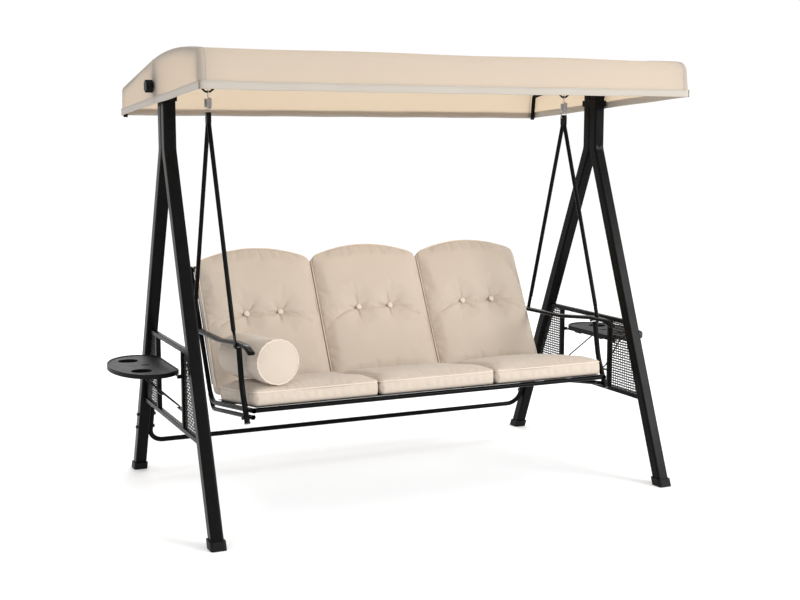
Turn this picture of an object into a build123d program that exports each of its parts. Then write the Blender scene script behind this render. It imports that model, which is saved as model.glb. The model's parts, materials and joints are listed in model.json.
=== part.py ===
"""Canopy swing bench: two A-frames, a tilting canopy, and a three-seat bench hung on springs.

Units are millimetres. +X runs along the bench, the bench faces -Y, and +Z is up.
The origin is on the floor, under the middle of the whole object.
"""

import os
from math import cos, radians, sin

from build123d import *

# ---- driving dimensions: the two A-frames ---------------------------------------------------
FRAME_X = 1000.0            # A-frame plane, measured from the middle of the bench
HEAD_Y = -28.0              # middle of each pair of upright leg tops
FRONT_FOOT_Y = -613.0
REAR_FOOT_Y = 632.0
BEND_Z = 1453.0             # height at which the legs turn upright
LEG_TOP_Z = 1760.0
LEG_SIZE = 50.0
LEG_WALL = 2.0
LEG_CORNER = 8.0
FOOT_CAP_SIZE = 62.0
FOOT_CAP_HEIGHT = 32.0
FOOT_CAP_SOLE = 6.0

# ---- driving dimensions: canopy -------------------------------------------------------------
PIVOT_Z = 1702.0            # canopy tilt axis, along X through HEAD_Y
CANOPY_X = 1044.0           # half length over the fabric
CLOTH = 2.5                 # thickness of the canopy's solid walls
CANOPY_TUBE = 19.0

# ---- driving dimensions: hanging bench ------------------------------------------------------
HANG_X = 833.0              # plane of the springs and hanger tubes
HANG_Y = -33.0
HOOK_Z = 1684.0             # swing axis, along X through HANG_Y
SEAT_TUBE_X = 797.0
SEAT_TUBE = 20.0
ARM_X = 814.0
SUPPORT_X = 818.3
SEAT_SLOPE = 7.8            # degrees that the seat falls towards the back
BACK_LEAN = 28.0            # degrees that the back leans from upright
SEAT_FRONT = Vector(0, -455.0, 468.0)
BACK_POINT = Vector(0, 260.0, 640.0)
CUSHION_PITCH = 529.0
CUSHION_WIDTH = 526.0

# ---- driving dimensions: side panels and folding trays --------------------------------------
PANEL_TOP_Z = 680.0
PANEL_LOW_Z = 358.0
PANEL_MID_Y = 8.0
PANEL_HALF_BAY = 205.0
PANEL_TUBE = 20.0
TRAY_AXIS_X = 1020.0
TRAY_AXIS_Z = 574.0
TRAY_REACH = 1250.0
TRAY_HALF_WIDTH = 235.0
TRAY_TOP_Z = 592.0

SIDES = {"left": -1, "right": 1}


# ---- shared helpers -------------------------------------------------------------------------
def save(node, shape):
    """Write one node as parts/NODE.step. A list becomes one group of separate solids."""
    if isinstance(shape, (list, tuple)):
        shape = Compound(children=[solid for item in shape for solid in item.solids()])
    export_step(shape, f"parts/{node}.step")


def at_x(point, x):
    """The same point moved to another X."""
    return Vector(x, point.Y, point.Z)


def bend(points, radius):
    """A path of straight runs joined by tangent arcs."""
    if len(points) == 2:
        return Line(*points)
    return FilletPolyline(*points, radius=radius)


def section_plane(path):
    """The plane square to the start of a path, with its x direction kept along X where it can be."""
    along = path % 0
    sideways = (0, 1, 0) if abs(along.X) > 0.9 else (1, 0, 0)
    return Plane(origin=path @ 0, x_dir=sideways, z_dir=along)


def round_bar(path, diameter):
    """A solid round rod along a path."""
    return sweep(section_plane(path) * Circle(diameter / 2), path=path)


def round_tube(path, diameter, wall):
    """A hollow round tube along a path."""
    ring = Circle(diameter / 2) - Circle(diameter / 2 - wall)
    return sweep(section_plane(path) * ring, path=path)


def square_bar(path, width, depth, corner):
    """A solid rectangular bar with rounded corners along a path."""
    return sweep(section_plane(path) * RectangleRounded(width, depth, corner), path=path)


def square_tube(path, width, depth, corner, wall):
    """A hollow rectangular tube with rounded corners along a path."""
    outer = RectangleRounded(width, depth, corner)
    inner = RectangleRounded(width - 2 * wall, depth - 2 * wall, corner - wall)
    return sweep(section_plane(path) * (outer - inner), path=path)


def rod(start, end, diameter):
    """A straight solid rod between two points."""
    return round_bar(Line(start, end), diameter)


def block(low, high):
    """A box from its lowest to its highest corner."""
    size = [top - bottom for bottom, top in zip(low, high)]
    middle = [(top + bottom) / 2 for bottom, top in zip(low, high)]
    return Pos(*middle) * Box(*size)


def slab(low_z, high_z):
    """A very wide block between two heights, for trimming."""
    return block((-3000, -3000, low_z), (3000, 3000, high_z))


def x_bolt(x, y, z, outward, grip, nut, tail):
    """A bolt along X: a domed head at x, a shank across the grip, a nut, and a short tail beyond it."""
    shank, head = 8.0, 6.0
    far = x + outward * grip
    shank_rod = rod((x, y, z), (far + outward * (nut + tail), y, z), shank)
    head_disc = rod((x - outward * head, y, z), (x, y, z), 2 * shank)
    rims = head_disc.edges().filter_by(GeomType.CIRCLE).sort_by(Axis.X)
    head_disc = fillet(rims[0 if outward > 0 else -1], 3.5)
    hexagon = Plane(origin=(far, y, z), z_dir=(outward, 0, 0)) * RegularPolygon(shank * 0.93, 6)
    return head_disc + shank_rod + extrude(hexagon, nut)


def x_hole(x, y, z, reach, diameter):
    """A cutter for a hole along X, centred on x."""
    return rod((x - reach, y, z), (x + reach, y, z), diameter)


# ---- A-frame legs ---------------------------------------------------------------------------
LEGS = {
    "front": (FRONT_FOOT_Y, HEAD_Y - LEG_SIZE / 2),
    "rear": (REAR_FOOT_Y, HEAD_Y + LEG_SIZE / 2),
}


def leg_y(which, z):
    """Y of a leg's centre line at a height below the bend."""
    foot_y, head_y = LEGS[which]
    return head_y + (foot_y - head_y) * (BEND_Z - z) / BEND_Z


def leg_path(side, which):
    x = SIDES[side] * FRAME_X
    below = -60.0
    return bend([(x, leg_y(which, below), below), (x, LEGS[which][1], BEND_Z), (x, LEGS[which][1], LEG_TOP_Z)], 90)


def leg_bar(side, which):
    """The leg's outer shape as one solid, for cutting the pieces that meet it."""
    return square_bar(leg_path(side, which), LEG_SIZE, LEG_SIZE, LEG_CORNER)


LEG_BARS = {(side, which): leg_bar(side, which) for side in SIDES for which in LEGS}

CROSSBAR_TUBE = 22.0
CROSSBAR_END_X = FRAME_X - LEG_SIZE / 2 - CROSSBAR_TUBE / 2
CROSSBAR_Z = 137.0
CROSSBAR_TOP_Z = 303.0
CROSSBAR_BOLT_Z = (213.0, 276.0)
BOLT_HOLE = 8.6
COLLAR_Z = (1644.0, 1671.0)
COLLAR_WALL = 4.0


def pressed_dimple(side, which):
    """A shallow upright pocket pressed into the outward face of a leg, just above its bend."""
    facing = -1 if which == "front" else 1
    face_y = LEGS[which][1] + facing * LEG_SIZE / 2
    centre = (SIDES[side] * FRAME_X, face_y, BEND_Z + 29)
    pocket = Plane(origin=centre, x_dir=(0, 0, 1), z_dir=(0, facing, 0)) * SlotOverall(46, 12)
    return extrude(pocket, 1.2, both=True)


def leg(side, which):
    """A square steel leg: leaning, then upright above its bend."""
    body = square_tube(leg_path(side, which), LEG_SIZE, LEG_SIZE, LEG_CORNER, LEG_WALL)
    body &= slab(FOOT_CAP_SOLE, LEG_TOP_Z + 1)
    body -= pressed_dimple(side, which)
    if which == "rear":
        for z in CROSSBAR_BOLT_Z:
            body -= x_hole(SIDES[side] * FRAME_X, leg_y("rear", z), z, 60, BOLT_HOLE)
    return body


def foot_cap(side, which):
    """A plastic shoe that closes the bottom of a leg and stands on the floor."""
    shell = square_bar(leg_path(side, which), FOOT_CAP_SIZE, FOOT_CAP_SIZE, 10)
    shell &= slab(0, FOOT_CAP_HEIGHT)
    return shell - (LEG_BARS[side, which] & slab(FOOT_CAP_SOLE, FOOT_CAP_HEIGHT + 1))


# ---- frame head: collar, beam and spring hooks ----------------------------------------------
CHEEK_TOP_Z = 1728.0
KNOB_STUD = 8.0


def head_collar(side):
    """A sheet collar round both leg tops, with an outer cheek that carries the canopy pivot."""
    out = SIDES[side]
    pair_x, pair_y = LEG_SIZE, 2 * LEG_SIZE
    low, high = COLLAR_Z
    centre = Pos(out * FRAME_X, HEAD_Y, (low + high) / 2)
    collar = centre * Box(pair_x + 2 * COLLAR_WALL, pair_y + 2 * COLLAR_WALL, high - low)
    collar -= centre * Box(pair_x, pair_y, high - low + 2)
    face = out * (FRAME_X + pair_x / 2)
    cheek_x = sorted((face, face + out * COLLAR_WALL))
    collar += block((cheek_x[0], HEAD_Y - 30, low), (cheek_x[1], HEAD_Y + 30, CHEEK_TOP_Z))
    return collar - x_hole(face, HEAD_Y, PIVOT_Z, 10, KNOB_STUD + 0.1)


BEAM_SIZE = 50.0
BEAM_Z = 1730.0
END_PLATE = 6.0


def top_beam():
    """The hollow beam that joins the two A-frame heads, with a plate welded on each end."""
    inner_face = FRAME_X - LEG_SIZE / 2
    path = Line((-inner_face + END_PLATE, HEAD_Y, BEAM_Z), (inner_face - END_PLATE, HEAD_Y, BEAM_Z))
    beam = square_tube(path, BEAM_SIZE, BEAM_SIZE, LEG_CORNER, LEG_WALL)
    for out in SIDES.values():
        plate_x = sorted((out * inner_face, out * (inner_face - END_PLATE)))
        beam += block((plate_x[0], HEAD_Y - 48, BEAM_Z - 29), (plate_x[1], HEAD_Y + 48, BEAM_Z + 29))
    return beam


HOOK_ROD = 8.0
HOOK_PLATE = 4.0


def spring_hook(side):
    """A bent rod hook under the beam. The spring's upper loop hangs in its lowest stretch."""
    x = SIDES[side] * HANG_X
    beam_bottom = BEAM_Z - BEAM_SIZE / 2
    plate_bottom = beam_bottom - HOOK_PLATE
    plate = block((x - 42, HEAD_Y - 22, plate_bottom), (x + 42, HEAD_Y + 22, beam_bottom))
    reach, flat = 25.0, 9.0
    points = [
        (x - reach, HANG_Y, plate_bottom + 1),
        (x - reach, HANG_Y, plate_bottom - 4),
        (x - flat, HANG_Y, HOOK_Z),
        (x + flat, HANG_Y, HOOK_Z),
        (x + reach, HANG_Y, plate_bottom - 4),
        (x + reach, HANG_Y, plate_bottom + 1),
    ]
    return plate + round_bar(bend(points, [4.5, 8, 8, 4.5]), HOOK_ROD)


# ---- rear crossbar --------------------------------------------------------------------------
def rear_crossbar():
    """A low round tube whose upturned ends lie along the inner faces of the rear legs."""
    points = [
        (-CROSSBAR_END_X, leg_y("rear", CROSSBAR_TOP_Z), CROSSBAR_TOP_Z),
        (-CROSSBAR_END_X, leg_y("rear", CROSSBAR_Z), CROSSBAR_Z),
        (CROSSBAR_END_X, leg_y("rear", CROSSBAR_Z), CROSSBAR_Z),
        (CROSSBAR_END_X, leg_y("rear", CROSSBAR_TOP_Z), CROSSBAR_TOP_Z),
    ]
    tube = round_tube(bend(points, 62), CROSSBAR_TUBE, 1.8)
    for out in SIDES.values():
        for z in CROSSBAR_BOLT_Z:
            tube -= x_hole(out * CROSSBAR_END_X, leg_y("rear", z), z, 20, BOLT_HOLE)
    return tube


def frame_bolts():
    """Bolts through the crossbar ends and rear legs, and screws that hold the beam's end plates."""
    bolts = []
    plate_x = FRAME_X - LEG_SIZE / 2 - END_PLATE
    for out in SIDES.values():
        for z in CROSSBAR_BOLT_Z:
            start_x = out * (CROSSBAR_END_X - CROSSBAR_TUBE / 2)
            grip = CROSSBAR_TUBE + LEG_SIZE
            bolts.append(x_bolt(start_x, leg_y("rear", z), z, out, grip, nut=6, tail=2))
        for offset_y in (-37, 37):
            for offset_z in (-18, 18):
                head = rod((out * plate_x, HEAD_Y + offset_y, BEAM_Z + offset_z),
                           (out * (plate_x - 5), HEAD_Y + offset_y, BEAM_Z + offset_z), 14)
                bolts.append(head)
    return bolts


# ---- side panels between the legs of each A-frame -------------------------------------------
UPRIGHT_Y = {"front": PANEL_MID_Y - PANEL_HALF_BAY, "rear": PANEL_MID_Y + PANEL_HALF_BAY}


def panel_rails(side):
    """The upper and lower square rails, cut to fit between the leaning legs."""
    rails = []
    x = SIDES[side] * FRAME_X
    for z in (PANEL_TOP_Z, PANEL_LOW_Z):
        path = Line((x, leg_y("front", z) + 10, z), (x, leg_y("rear", z) - 10, z))
        rail = square_bar(path, PANEL_TUBE, PANEL_TUBE, 3)
        for which in LEGS:
            rail -= LEG_BARS[side, which]
        rails.append(rail)
    return rails


def panel_uprights(side):
    """The two square uprights of a side panel, one each side of the open bay."""
    x = SIDES[side] * FRAME_X
    low, high = PANEL_LOW_Z + PANEL_TUBE / 2, PANEL_TOP_Z - PANEL_TUBE / 2
    return [square_tube(Line((x, y, low), (x, y, high)), PANEL_TUBE, PANEL_TUBE, 3, 1.2) for y in UPRIGHT_Y.values()]


def weave_panels(side):
    """The two thin woven panels, each between an upright and its leg."""
    panels = []
    low, high = PANEL_LOW_Z + PANEL_TUBE / 2, PANEL_TOP_Z - PANEL_TUBE / 2
    thickness = 4.0
    for which, upright_y in UPRIGHT_Y.items():
        facing = -1 if which == "front" else 1
        edge_y = upright_y + facing * PANEL_TUBE / 2
        outline = Polyline(
            (edge_y, low), (edge_y, high), (leg_y(which, high), high), (leg_y(which, low), low), close=True)
        sheet = Plane(origin=(SIDES[side] * FRAME_X, 0, 0), x_dir=(0, 1, 0), z_dir=(1, 0, 0)) * make_face(outline)
        panels.append(extrude(sheet, thickness / 2, both=True) - LEG_BARS[side, which])
    return panels


# ---- folding side trays ---------------------------------------------------------------------
TRAY_PIN = 8.0
TRAY_CENTRE_X = 1110.0
TRAY_SKIRT = 15.0
TRAY_PLATE = 4.0
CUP_RADIUS = 41.0
CUP_DEPTH = 12.0
CUP_X = 1147.0
CUP_OFFSET_Y = 120.0
FINGER_HOLE_X = 1103.0
STAY_WIRE = 6.0
STAY_TOP_X = 1135.0
STAY_TOP_Z = 566.0
STAY_LOW_X = 1003.0
STAY_LOW_Z = 441.0
STAY_HALF_WIDTH = 158.0
STAY_TOP_HALF_WIDTH = 96.0
LUG_Y = (-90.0, 90.0)


def tray_hinge(side):
    """A pivot rod along Y, held outside the uprights by two welded brackets."""
    out = SIDES[side]
    axis_x = out * TRAY_AXIS_X
    face = out * (FRAME_X + PANEL_TUBE / 2)
    low_y, high_y = UPRIGHT_Y["front"], UPRIGHT_Y["rear"]
    pin = rod((axis_x, low_y - 9, TRAY_AXIS_Z), (axis_x, high_y + 9, TRAY_AXIS_Z), TRAY_PIN)
    hinge = pin
    for y in (low_y, high_y):
        bracket_x = sorted((face, axis_x + out * 7))
        hinge += block((bracket_x[0], y - 7, TRAY_AXIS_Z - 7), (bracket_x[1], y + 7, TRAY_AXIS_Z + 7))
    return hinge


def tray_outline(side, grow):
    """A long oval cut off straight on its inner side, grown or shrunk all round."""
    reach = TRAY_REACH - TRAY_CENTRE_X
    oval = Pos(SIDES[side] * TRAY_CENTRE_X, PANEL_MID_Y) * Ellipse(reach + grow, TRAY_HALF_WIDTH + grow)
    inner_edge = TRAY_AXIS_X - 12 - grow
    keep = Pos(SIDES[side] * (inner_edge + 200), PANEL_MID_Y) * Rectangle(400, 600)
    return oval & keep


def tray_cups(side):
    return [(SIDES[side] * CUP_X, PANEL_MID_Y + offset) for offset in (-CUP_OFFSET_Y, CUP_OFFSET_Y)]


def tray(side):
    """A moulded tray: thin top, raised rim, skirt, two cup wells, a finger hole and hinge lugs."""
    out = SIDES[side]
    bottom_z = TRAY_TOP_Z - TRAY_SKIRT
    lift = Pos(0, 0, bottom_z)
    body = lift * extrude(tray_outline(side, 0), TRAY_SKIRT + 3)
    body -= Pos(0, 0, TRAY_TOP_Z) * extrude(tray_outline(side, -5), 10)
    body -= Pos(0, 0, bottom_z - 1) * extrude(tray_outline(side, -4), TRAY_SKIRT - TRAY_PLATE + 1)
    floor_z = TRAY_TOP_Z - CUP_DEPTH
    for x, y in tray_cups(side):
        body += Pos(x, y, floor_z - 3) * extrude(Circle(CUP_RADIUS + 2.5), CUP_DEPTH + 3)
    for y in LUG_Y:
        body += tray_hinge_lug(side, PANEL_MID_Y + y)
        body += stay_lug(side, PANEL_MID_Y + y)
    for x, y in tray_cups(side):
        body -= Pos(x, y, floor_z) * extrude(Circle(CUP_RADIUS), CUP_DEPTH + 5)
    body -= Pos(out * FINGER_HOLE_X, PANEL_MID_Y, bottom_z - 5) * extrude(SlotOverall(36, 20), 40)
    body -= rod((out * TRAY_AXIS_X, -400, TRAY_AXIS_Z), (out * TRAY_AXIS_X, 400, TRAY_AXIS_Z), TRAY_PIN + 0.1)
    stay_hole = STAY_WIRE + 0.1
    body -= rod((out * STAY_TOP_X, -300, STAY_TOP_Z), (out * STAY_TOP_X, 300, STAY_TOP_Z), stay_hole)
    return body


def tray_hinge_lug(side, y):
    """A lug under the tray's inner edge that turns on the pivot rod."""
    x = SIDES[side] * TRAY_AXIS_X
    barrel = rod((x, y - 20, TRAY_AXIS_Z), (x, y + 20, TRAY_AXIS_Z), 2 * TRAY_PIN)
    web = block((x - 8, y - 20, TRAY_AXIS_Z), (x + 8, y + 20, TRAY_TOP_Z - 1))
    return barrel + web


def stay_lug(side, y):
    """A lug under the tray that holds one bent end of the wire stay."""
    x = SIDES[side] * STAY_TOP_X
    barrel = rod((x, y - 5, STAY_TOP_Z), (x, y + 5, STAY_TOP_Z), 2 * STAY_WIRE)
    web = block((x - 6, y - 5, STAY_TOP_Z), (x + 6, y + 5, TRAY_TOP_Z - 1))
    return barrel + web


def tray_stay(side):
    """A wire bail that props the tray: its ends turn in the tray's lugs, its low run rests on clips."""
    out = SIDES[side]
    low = (out * STAY_LOW_X, STAY_LOW_Z)
    top = (out * STAY_TOP_X, STAY_TOP_Z)
    front_y, rear_y = PANEL_MID_Y - STAY_HALF_WIDTH, PANEL_MID_Y + STAY_HALF_WIDTH
    top_front_y, top_rear_y = PANEL_MID_Y - STAY_TOP_HALF_WIDTH - 6, PANEL_MID_Y + STAY_TOP_HALF_WIDTH + 6
    ear = 20.0
    points = [
        (top[0], top_front_y + ear, top[1]),
        (top[0], top_front_y, top[1]),
        (low[0], front_y, low[1]),
        (low[0], rear_y, low[1]),
        (top[0], top_rear_y, top[1]),
        (top[0], top_rear_y - ear, top[1]),
    ]
    return round_bar(bend(points, [4.5, 14, 14, 4.5]), STAY_WIRE)


def stay_clips():
    """Small shelves on the uprights that the low run of each wire stay rests on."""
    clips = []
    for out in SIDES.values():
        for which, y in UPRIGHT_Y.items():
            inward = 1 if which == "front" else -1
            face_y = y + inward * PANEL_TUBE / 2
            ends_y = sorted((face_y, face_y + inward * 62))
            x = out * STAY_LOW_X
            top_z = STAY_LOW_Z - STAY_WIRE / 2 - 0.3
            shelf = block((x - 9, ends_y[0], top_z - 4), (x + 9, ends_y[1], top_z))
            clips.append(shelf)
    return clips


# ---- canopy ---------------------------------------------------------------------------------
SHOULDER_RADIUS = {"rear": 28.0, "ridge": 2400.0, "front": 45.0}
HEM_FRONT = (-667.0, 1672.0)
HEM_REAR = (590.0, 1600.0)
REAR_SHOULDER = (574.0, 1721.0)
RIDGE = (-211.0, 1850.0)
FRONT_SHOULDER = (-651.0, 1813.0)


def canopy_points(inset, drop=0.0):
    """Corners (y, z) of the canopy's side profile, moved in from the outer face and down at the hems."""
    return [
        (HEM_REAR[0] - inset, HEM_REAR[1] - drop),
        (REAR_SHOULDER[0] - inset, REAR_SHOULDER[1] - inset),
        (RIDGE[0], RIDGE[1] - inset),
        (FRONT_SHOULDER[0] + inset, FRONT_SHOULDER[1] - inset),
        (HEM_FRONT[0] + inset, HEM_FRONT[1] - drop),
    ]


def canopy_radii(inset):
    return [radius - inset for radius in SHOULDER_RADIUS.values()]


def canopy_block(inset, half_length, drop, corner):
    """The canopy's profile run along X, with its end edges rounded."""
    roof = FilletPolyline(*canopy_points(inset, drop), radius=canopy_radii(inset))
    hem = Line(roof @ 1, roof @ 0)
    profile = Plane(origin=(0, 0, 0), x_dir=(0, 1, 0), z_dir=(1, 0, 0)) * make_face(roof + hem)
    body = extrude(profile, half_length, both=True)
    end_edges = [edge for edge in body.edges()
                 if abs(abs(edge.center().X) - half_length) < 0.1 and edge.center().Z > 1640]
    return fillet(end_edges, corner)


def canopy_cover():
    """The fabric cover as a thin shell, open below, with a hole in each end for the knob stem."""
    end_corner = 17.0
    shell = canopy_block(0, CANOPY_X, 0, end_corner)
    shell -= canopy_block(CLOTH, CANOPY_X - CLOTH, 20, end_corner - CLOTH)
    for out in SIDES.values():
        shell -= x_hole(out * CANOPY_X, HEAD_Y, PIVOT_Z, 20, 24)
    return shell


CANOPY_TUBE_INSET = CLOTH + 2.5 + CANOPY_TUBE / 2
CANOPY_TUBE_X = CANOPY_X - CLOTH - 2.2 - CANOPY_TUBE / 2
STRUT_X = (FRAME_X + LEG_SIZE / 2 + COLLAR_WALL + 0.6, FRAME_X + LEG_SIZE / 2 + COLLAR_WALL + 5.6)
STRUT_WIDTH = 30.0


def canopy_tube_path(side):
    x = SIDES[side] * CANOPY_TUBE_X
    corners = canopy_points(CANOPY_TUBE_INSET)
    corners[0] = (corners[0][0] - 2, HEM_REAR[1] - 8)
    corners[-1] = (corners[-1][0] + 4, HEM_FRONT[1] + 14)
    return bend([(x, y, z) for y, z in corners], canopy_radii(CANOPY_TUBE_INSET))


def canopy_side_frame(side):
    """The bent tube inside each end of the canopy, down to the hem at the back."""
    return round_tube(canopy_tube_path(side), CANOPY_TUBE, 1.5)


def canopy_cross_tubes():
    """Three tubes along X that hold the two side frames apart: rear, middle and front."""
    side_bars = [round_bar(canopy_tube_path(side), CANOPY_TUBE) for side in SIDES]
    path = canopy_tube_path("right")
    tubes = []
    for share in (0.25, 0.53, 0.895):
        spot = path @ share
        path_across = Line((-CANOPY_TUBE_X, spot.Y, spot.Z), (CANOPY_TUBE_X, spot.Y, spot.Z))
        tube = round_tube(path_across, CANOPY_TUBE - 2, 1.5)
        for bar in side_bars:
            tube -= bar
        tubes.append(tube.solids().sort_by(SortBy.VOLUME)[-1])
    return tubes


def canopy_struts():
    """Flat bars from the canopy's side frames down to the tilt pivots."""
    struts = []
    for side, out in SIDES.items():
        near, far = sorted((out * STRUT_X[0], out * STRUT_X[1]))
        strut = block((near, HEAD_Y - STRUT_WIDTH / 2, PIVOT_Z - 50), (far, HEAD_Y + STRUT_WIDTH / 2, PIVOT_Z + 104))
        strut -= round_bar(canopy_tube_path(side), CANOPY_TUBE)
        strut -= x_hole(out * STRUT_X[0], HEAD_Y, PIVOT_Z, 12, KNOB_STUD + 0.2)
        struts.append(strut.solids().sort_by(Axis.Z)[0])
    return struts


# ---- canopy clamp knobs ---------------------------------------------------------------------
KNOB_RADIUS = 25.0
KNOB_NEAR_X = 1055.0
KNOB_FAR_X = 1083.0
KNOB_LOBES = 6


def tilt_knob(side):
    """A lobed hand knob on a stem and a threaded stud."""
    out = SIDES[side]
    face = Plane(origin=(out * KNOB_NEAR_X, HEAD_Y, PIVOT_Z), x_dir=(0, 1, 0), z_dir=(out, 0, 0))
    outline = Circle(KNOB_RADIUS)
    for hollow in PolarLocations(KNOB_RADIUS + 5, KNOB_LOBES):
        outline -= hollow * Circle(8.5)
    star = extrude(face * outline, KNOB_FAR_X - KNOB_NEAR_X)
    rims = [edge for edge in star.edges() if abs(edge.center().X - out * KNOB_FAR_X) < 0.1]
    star = fillet(rims, 2)
    stem = rod((out * (STRUT_X[1] + 0.4), HEAD_Y, PIVOT_Z), (out * KNOB_NEAR_X, HEAD_Y, PIVOT_Z), 16)
    stud_end = FRAME_X + LEG_SIZE / 2 + 0.5
    stud = rod((out * stud_end, HEAD_Y, PIVOT_Z), (out * (STRUT_X[1] + 1), HEAD_Y, PIVOT_Z), KNOB_STUD)
    return star + stem + stud


# ---- springs and hangers --------------------------------------------------------------------
SPRING_WIRE = 4.0
SPRING_COIL_RADIUS = 14.0
SPRING_COIL_TOP_Z = 1656.0
SPRING_COIL_LOW_Z = 1622.0
SPRING_TURNS = 7
UPPER_LOOP_RADIUS = HOOK_ROD / 2 + 0.3 + SPRING_WIRE / 2
LOWER_LOOP_RADIUS = 14.0
LOWER_LOOP_Z = 1601.0


def spring(side):
    """A coil with a loop round the hook above and a ring through the hanger eye below."""
    x = SIDES[side] * HANG_X
    centre = Pos(x, HANG_Y, 0)
    height = SPRING_COIL_TOP_Z - SPRING_COIL_LOW_Z
    helix = Helix(pitch=height / SPRING_TURNS, height=height, radius=SPRING_COIL_RADIUS)
    wire_section = Plane(origin=helix @ 0, z_dir=helix % 0) * Circle(SPRING_WIRE / 2)
    coil = centre * Pos(0, 0, SPRING_COIL_LOW_Z) * sweep(wire_section, path=helix, is_frenet=True)
    upper_loop = Pos(x, HANG_Y, HOOK_Z) * Rot(0, 90, 0) * Torus(UPPER_LOOP_RADIUS, SPRING_WIRE / 2)
    upper_neck_top = HOOK_Z - UPPER_LOOP_RADIUS
    rim_x = x + SPRING_COIL_RADIUS
    upper_neck = round_bar(bend(
        [(x, HANG_Y, upper_neck_top), (x, HANG_Y, SPRING_COIL_TOP_Z + 5), (rim_x, HANG_Y, SPRING_COIL_TOP_Z)], 4),
        SPRING_WIRE)
    lower_ring = Pos(x, HANG_Y, LOWER_LOOP_Z) * Rot(90, 0, 0) * Torus(LOWER_LOOP_RADIUS, SPRING_WIRE / 2)
    lower_neck = rod((x, HANG_Y, LOWER_LOOP_Z + LOWER_LOOP_RADIUS), (rim_x, HANG_Y, SPRING_COIL_LOW_Z), SPRING_WIRE)
    return [coil + upper_neck + upper_loop + lower_neck + lower_ring]


EYE_TOP_Z = 1604.0
EYE_BOTTOM_Z = 1560.0
EYE_WIDTH = 18.0
EYE_DEPTH = 26.0
EYE_HOLE = 10.4
HANGER_TUBE = 18.0
HANGER_BOLT = {"front": (-342.0, 704.0), "rear": (254.0, 682.0)}
HANGER_TAB = 5.0
HANGER_TAB_X = (829.4, 834.4)


def hanger_eyes():
    """Blocks with a cross hole for the spring ring, where each pair of hanger tubes meets."""
    eyes = []
    for out in SIDES.values():
        x = out * HANG_X
        low = (x - EYE_WIDTH / 2, HANG_Y - EYE_DEPTH / 2, EYE_BOTTOM_Z)
        eye = block(low, (x + EYE_WIDTH / 2, HANG_Y + EYE_DEPTH / 2, EYE_TOP_Z))
        eye = fillet(eye.edges().filter_by(Axis.X).group_by(Axis.Z)[-1], 12)
        eye -= x_hole(x, HANG_Y, LOWER_LOOP_Z - 12.6, 20, EYE_HOLE)
        eyes.append(eye)
    return eyes


def hanger(side, which):
    """One hanger tube from the eye down to a flattened tab bolted outside the arm."""
    x = SIDES[side] * HANG_X
    tab_x = SIDES[side] * sum(HANGER_TAB_X) / 2
    facing = -1 if which == "front" else 1
    bolt_y, bolt_z = HANGER_BOLT[which]
    top = Vector(x, HANG_Y + facing * 7, EYE_BOTTOM_Z)
    bolt = Vector(x, bolt_y, bolt_z)
    down = (bolt - top).normalized()
    tube_end = bolt - down * 62
    tube = round_tube(Line(top - down * 12, tube_end), HANGER_TUBE, 1.8)
    own_half = sorted((HANG_Y, HANG_Y + facing * 400))
    tube &= block((x - 40, own_half[0], 0), (x + 40, own_half[1], EYE_BOTTOM_Z))
    neck_start = Plane(origin=tube_end - down * 4, x_dir=(1, 0, 0), z_dir=down)
    neck = extrude(neck_start * Circle(HANGER_TUBE / 2 - 0.1), 22, taper=14)
    tab_plane = Plane(origin=at_x(bolt, tab_x), x_dir=down, z_dir=(1, 0, 0))
    tab = extrude(tab_plane * Pos(-27, 0) * SlotOverall(78, 22), HANGER_TAB / 2, both=True)
    tab -= x_hole(tab_x, bolt_y, bolt_z, 10, BOLT_HOLE)
    return tube + neck + tab


# ---- bench frame ----------------------------------------------------------------------------
SEAT_DIRECTION = Vector(0, cos(radians(SEAT_SLOPE)), -sin(radians(SEAT_SLOPE)))
BACK_DIRECTION = Vector(0, sin(radians(BACK_LEAN)), cos(radians(BACK_LEAN)))
SEAT_NORMAL = Vector(0, sin(radians(SEAT_SLOPE)), cos(radians(SEAT_SLOPE)))
BACK_NORMAL = Vector(0, -cos(radians(BACK_LEAN)), sin(radians(BACK_LEAN)))
BACK_TOP_Z = 935.0


def crossing(seat_lift, back_lift):
    """Where the seat line and the back line meet, each raised along its own normal."""
    seat_start = SEAT_FRONT + SEAT_NORMAL * seat_lift
    back_start = BACK_POINT + BACK_NORMAL * back_lift
    gap = back_start - seat_start
    turn = SEAT_DIRECTION.Y * BACK_DIRECTION.Z - SEAT_DIRECTION.Z * BACK_DIRECTION.Y
    along = (gap.Y * BACK_DIRECTION.Z - gap.Z * BACK_DIRECTION.Y) / turn
    return seat_start + SEAT_DIRECTION * along


CORNER = crossing(0, 0)
SLING_LIFT = SEAT_TUBE / 2 + 0.2
SLING = 2.0
CUSHION_LIFT = SLING_LIFT + SLING + 0.4
NOOK = crossing(CUSHION_LIFT, CUSHION_LIFT)


def seat_tube_path(side):
    x = SIDES[side] * SEAT_TUBE_X
    top = BACK_POINT + BACK_DIRECTION * ((BACK_TOP_Z - BACK_POINT.Z) / BACK_DIRECTION.Z)
    return bend([at_x(SEAT_FRONT, x), at_x(CORNER, x), at_x(top, x)], 90)


def seat_side_frame(side):
    """One bent tube: the seat's side rail, turning up into the back's side."""
    return round_tube(seat_tube_path(side), SEAT_TUBE, 1.6)


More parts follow.
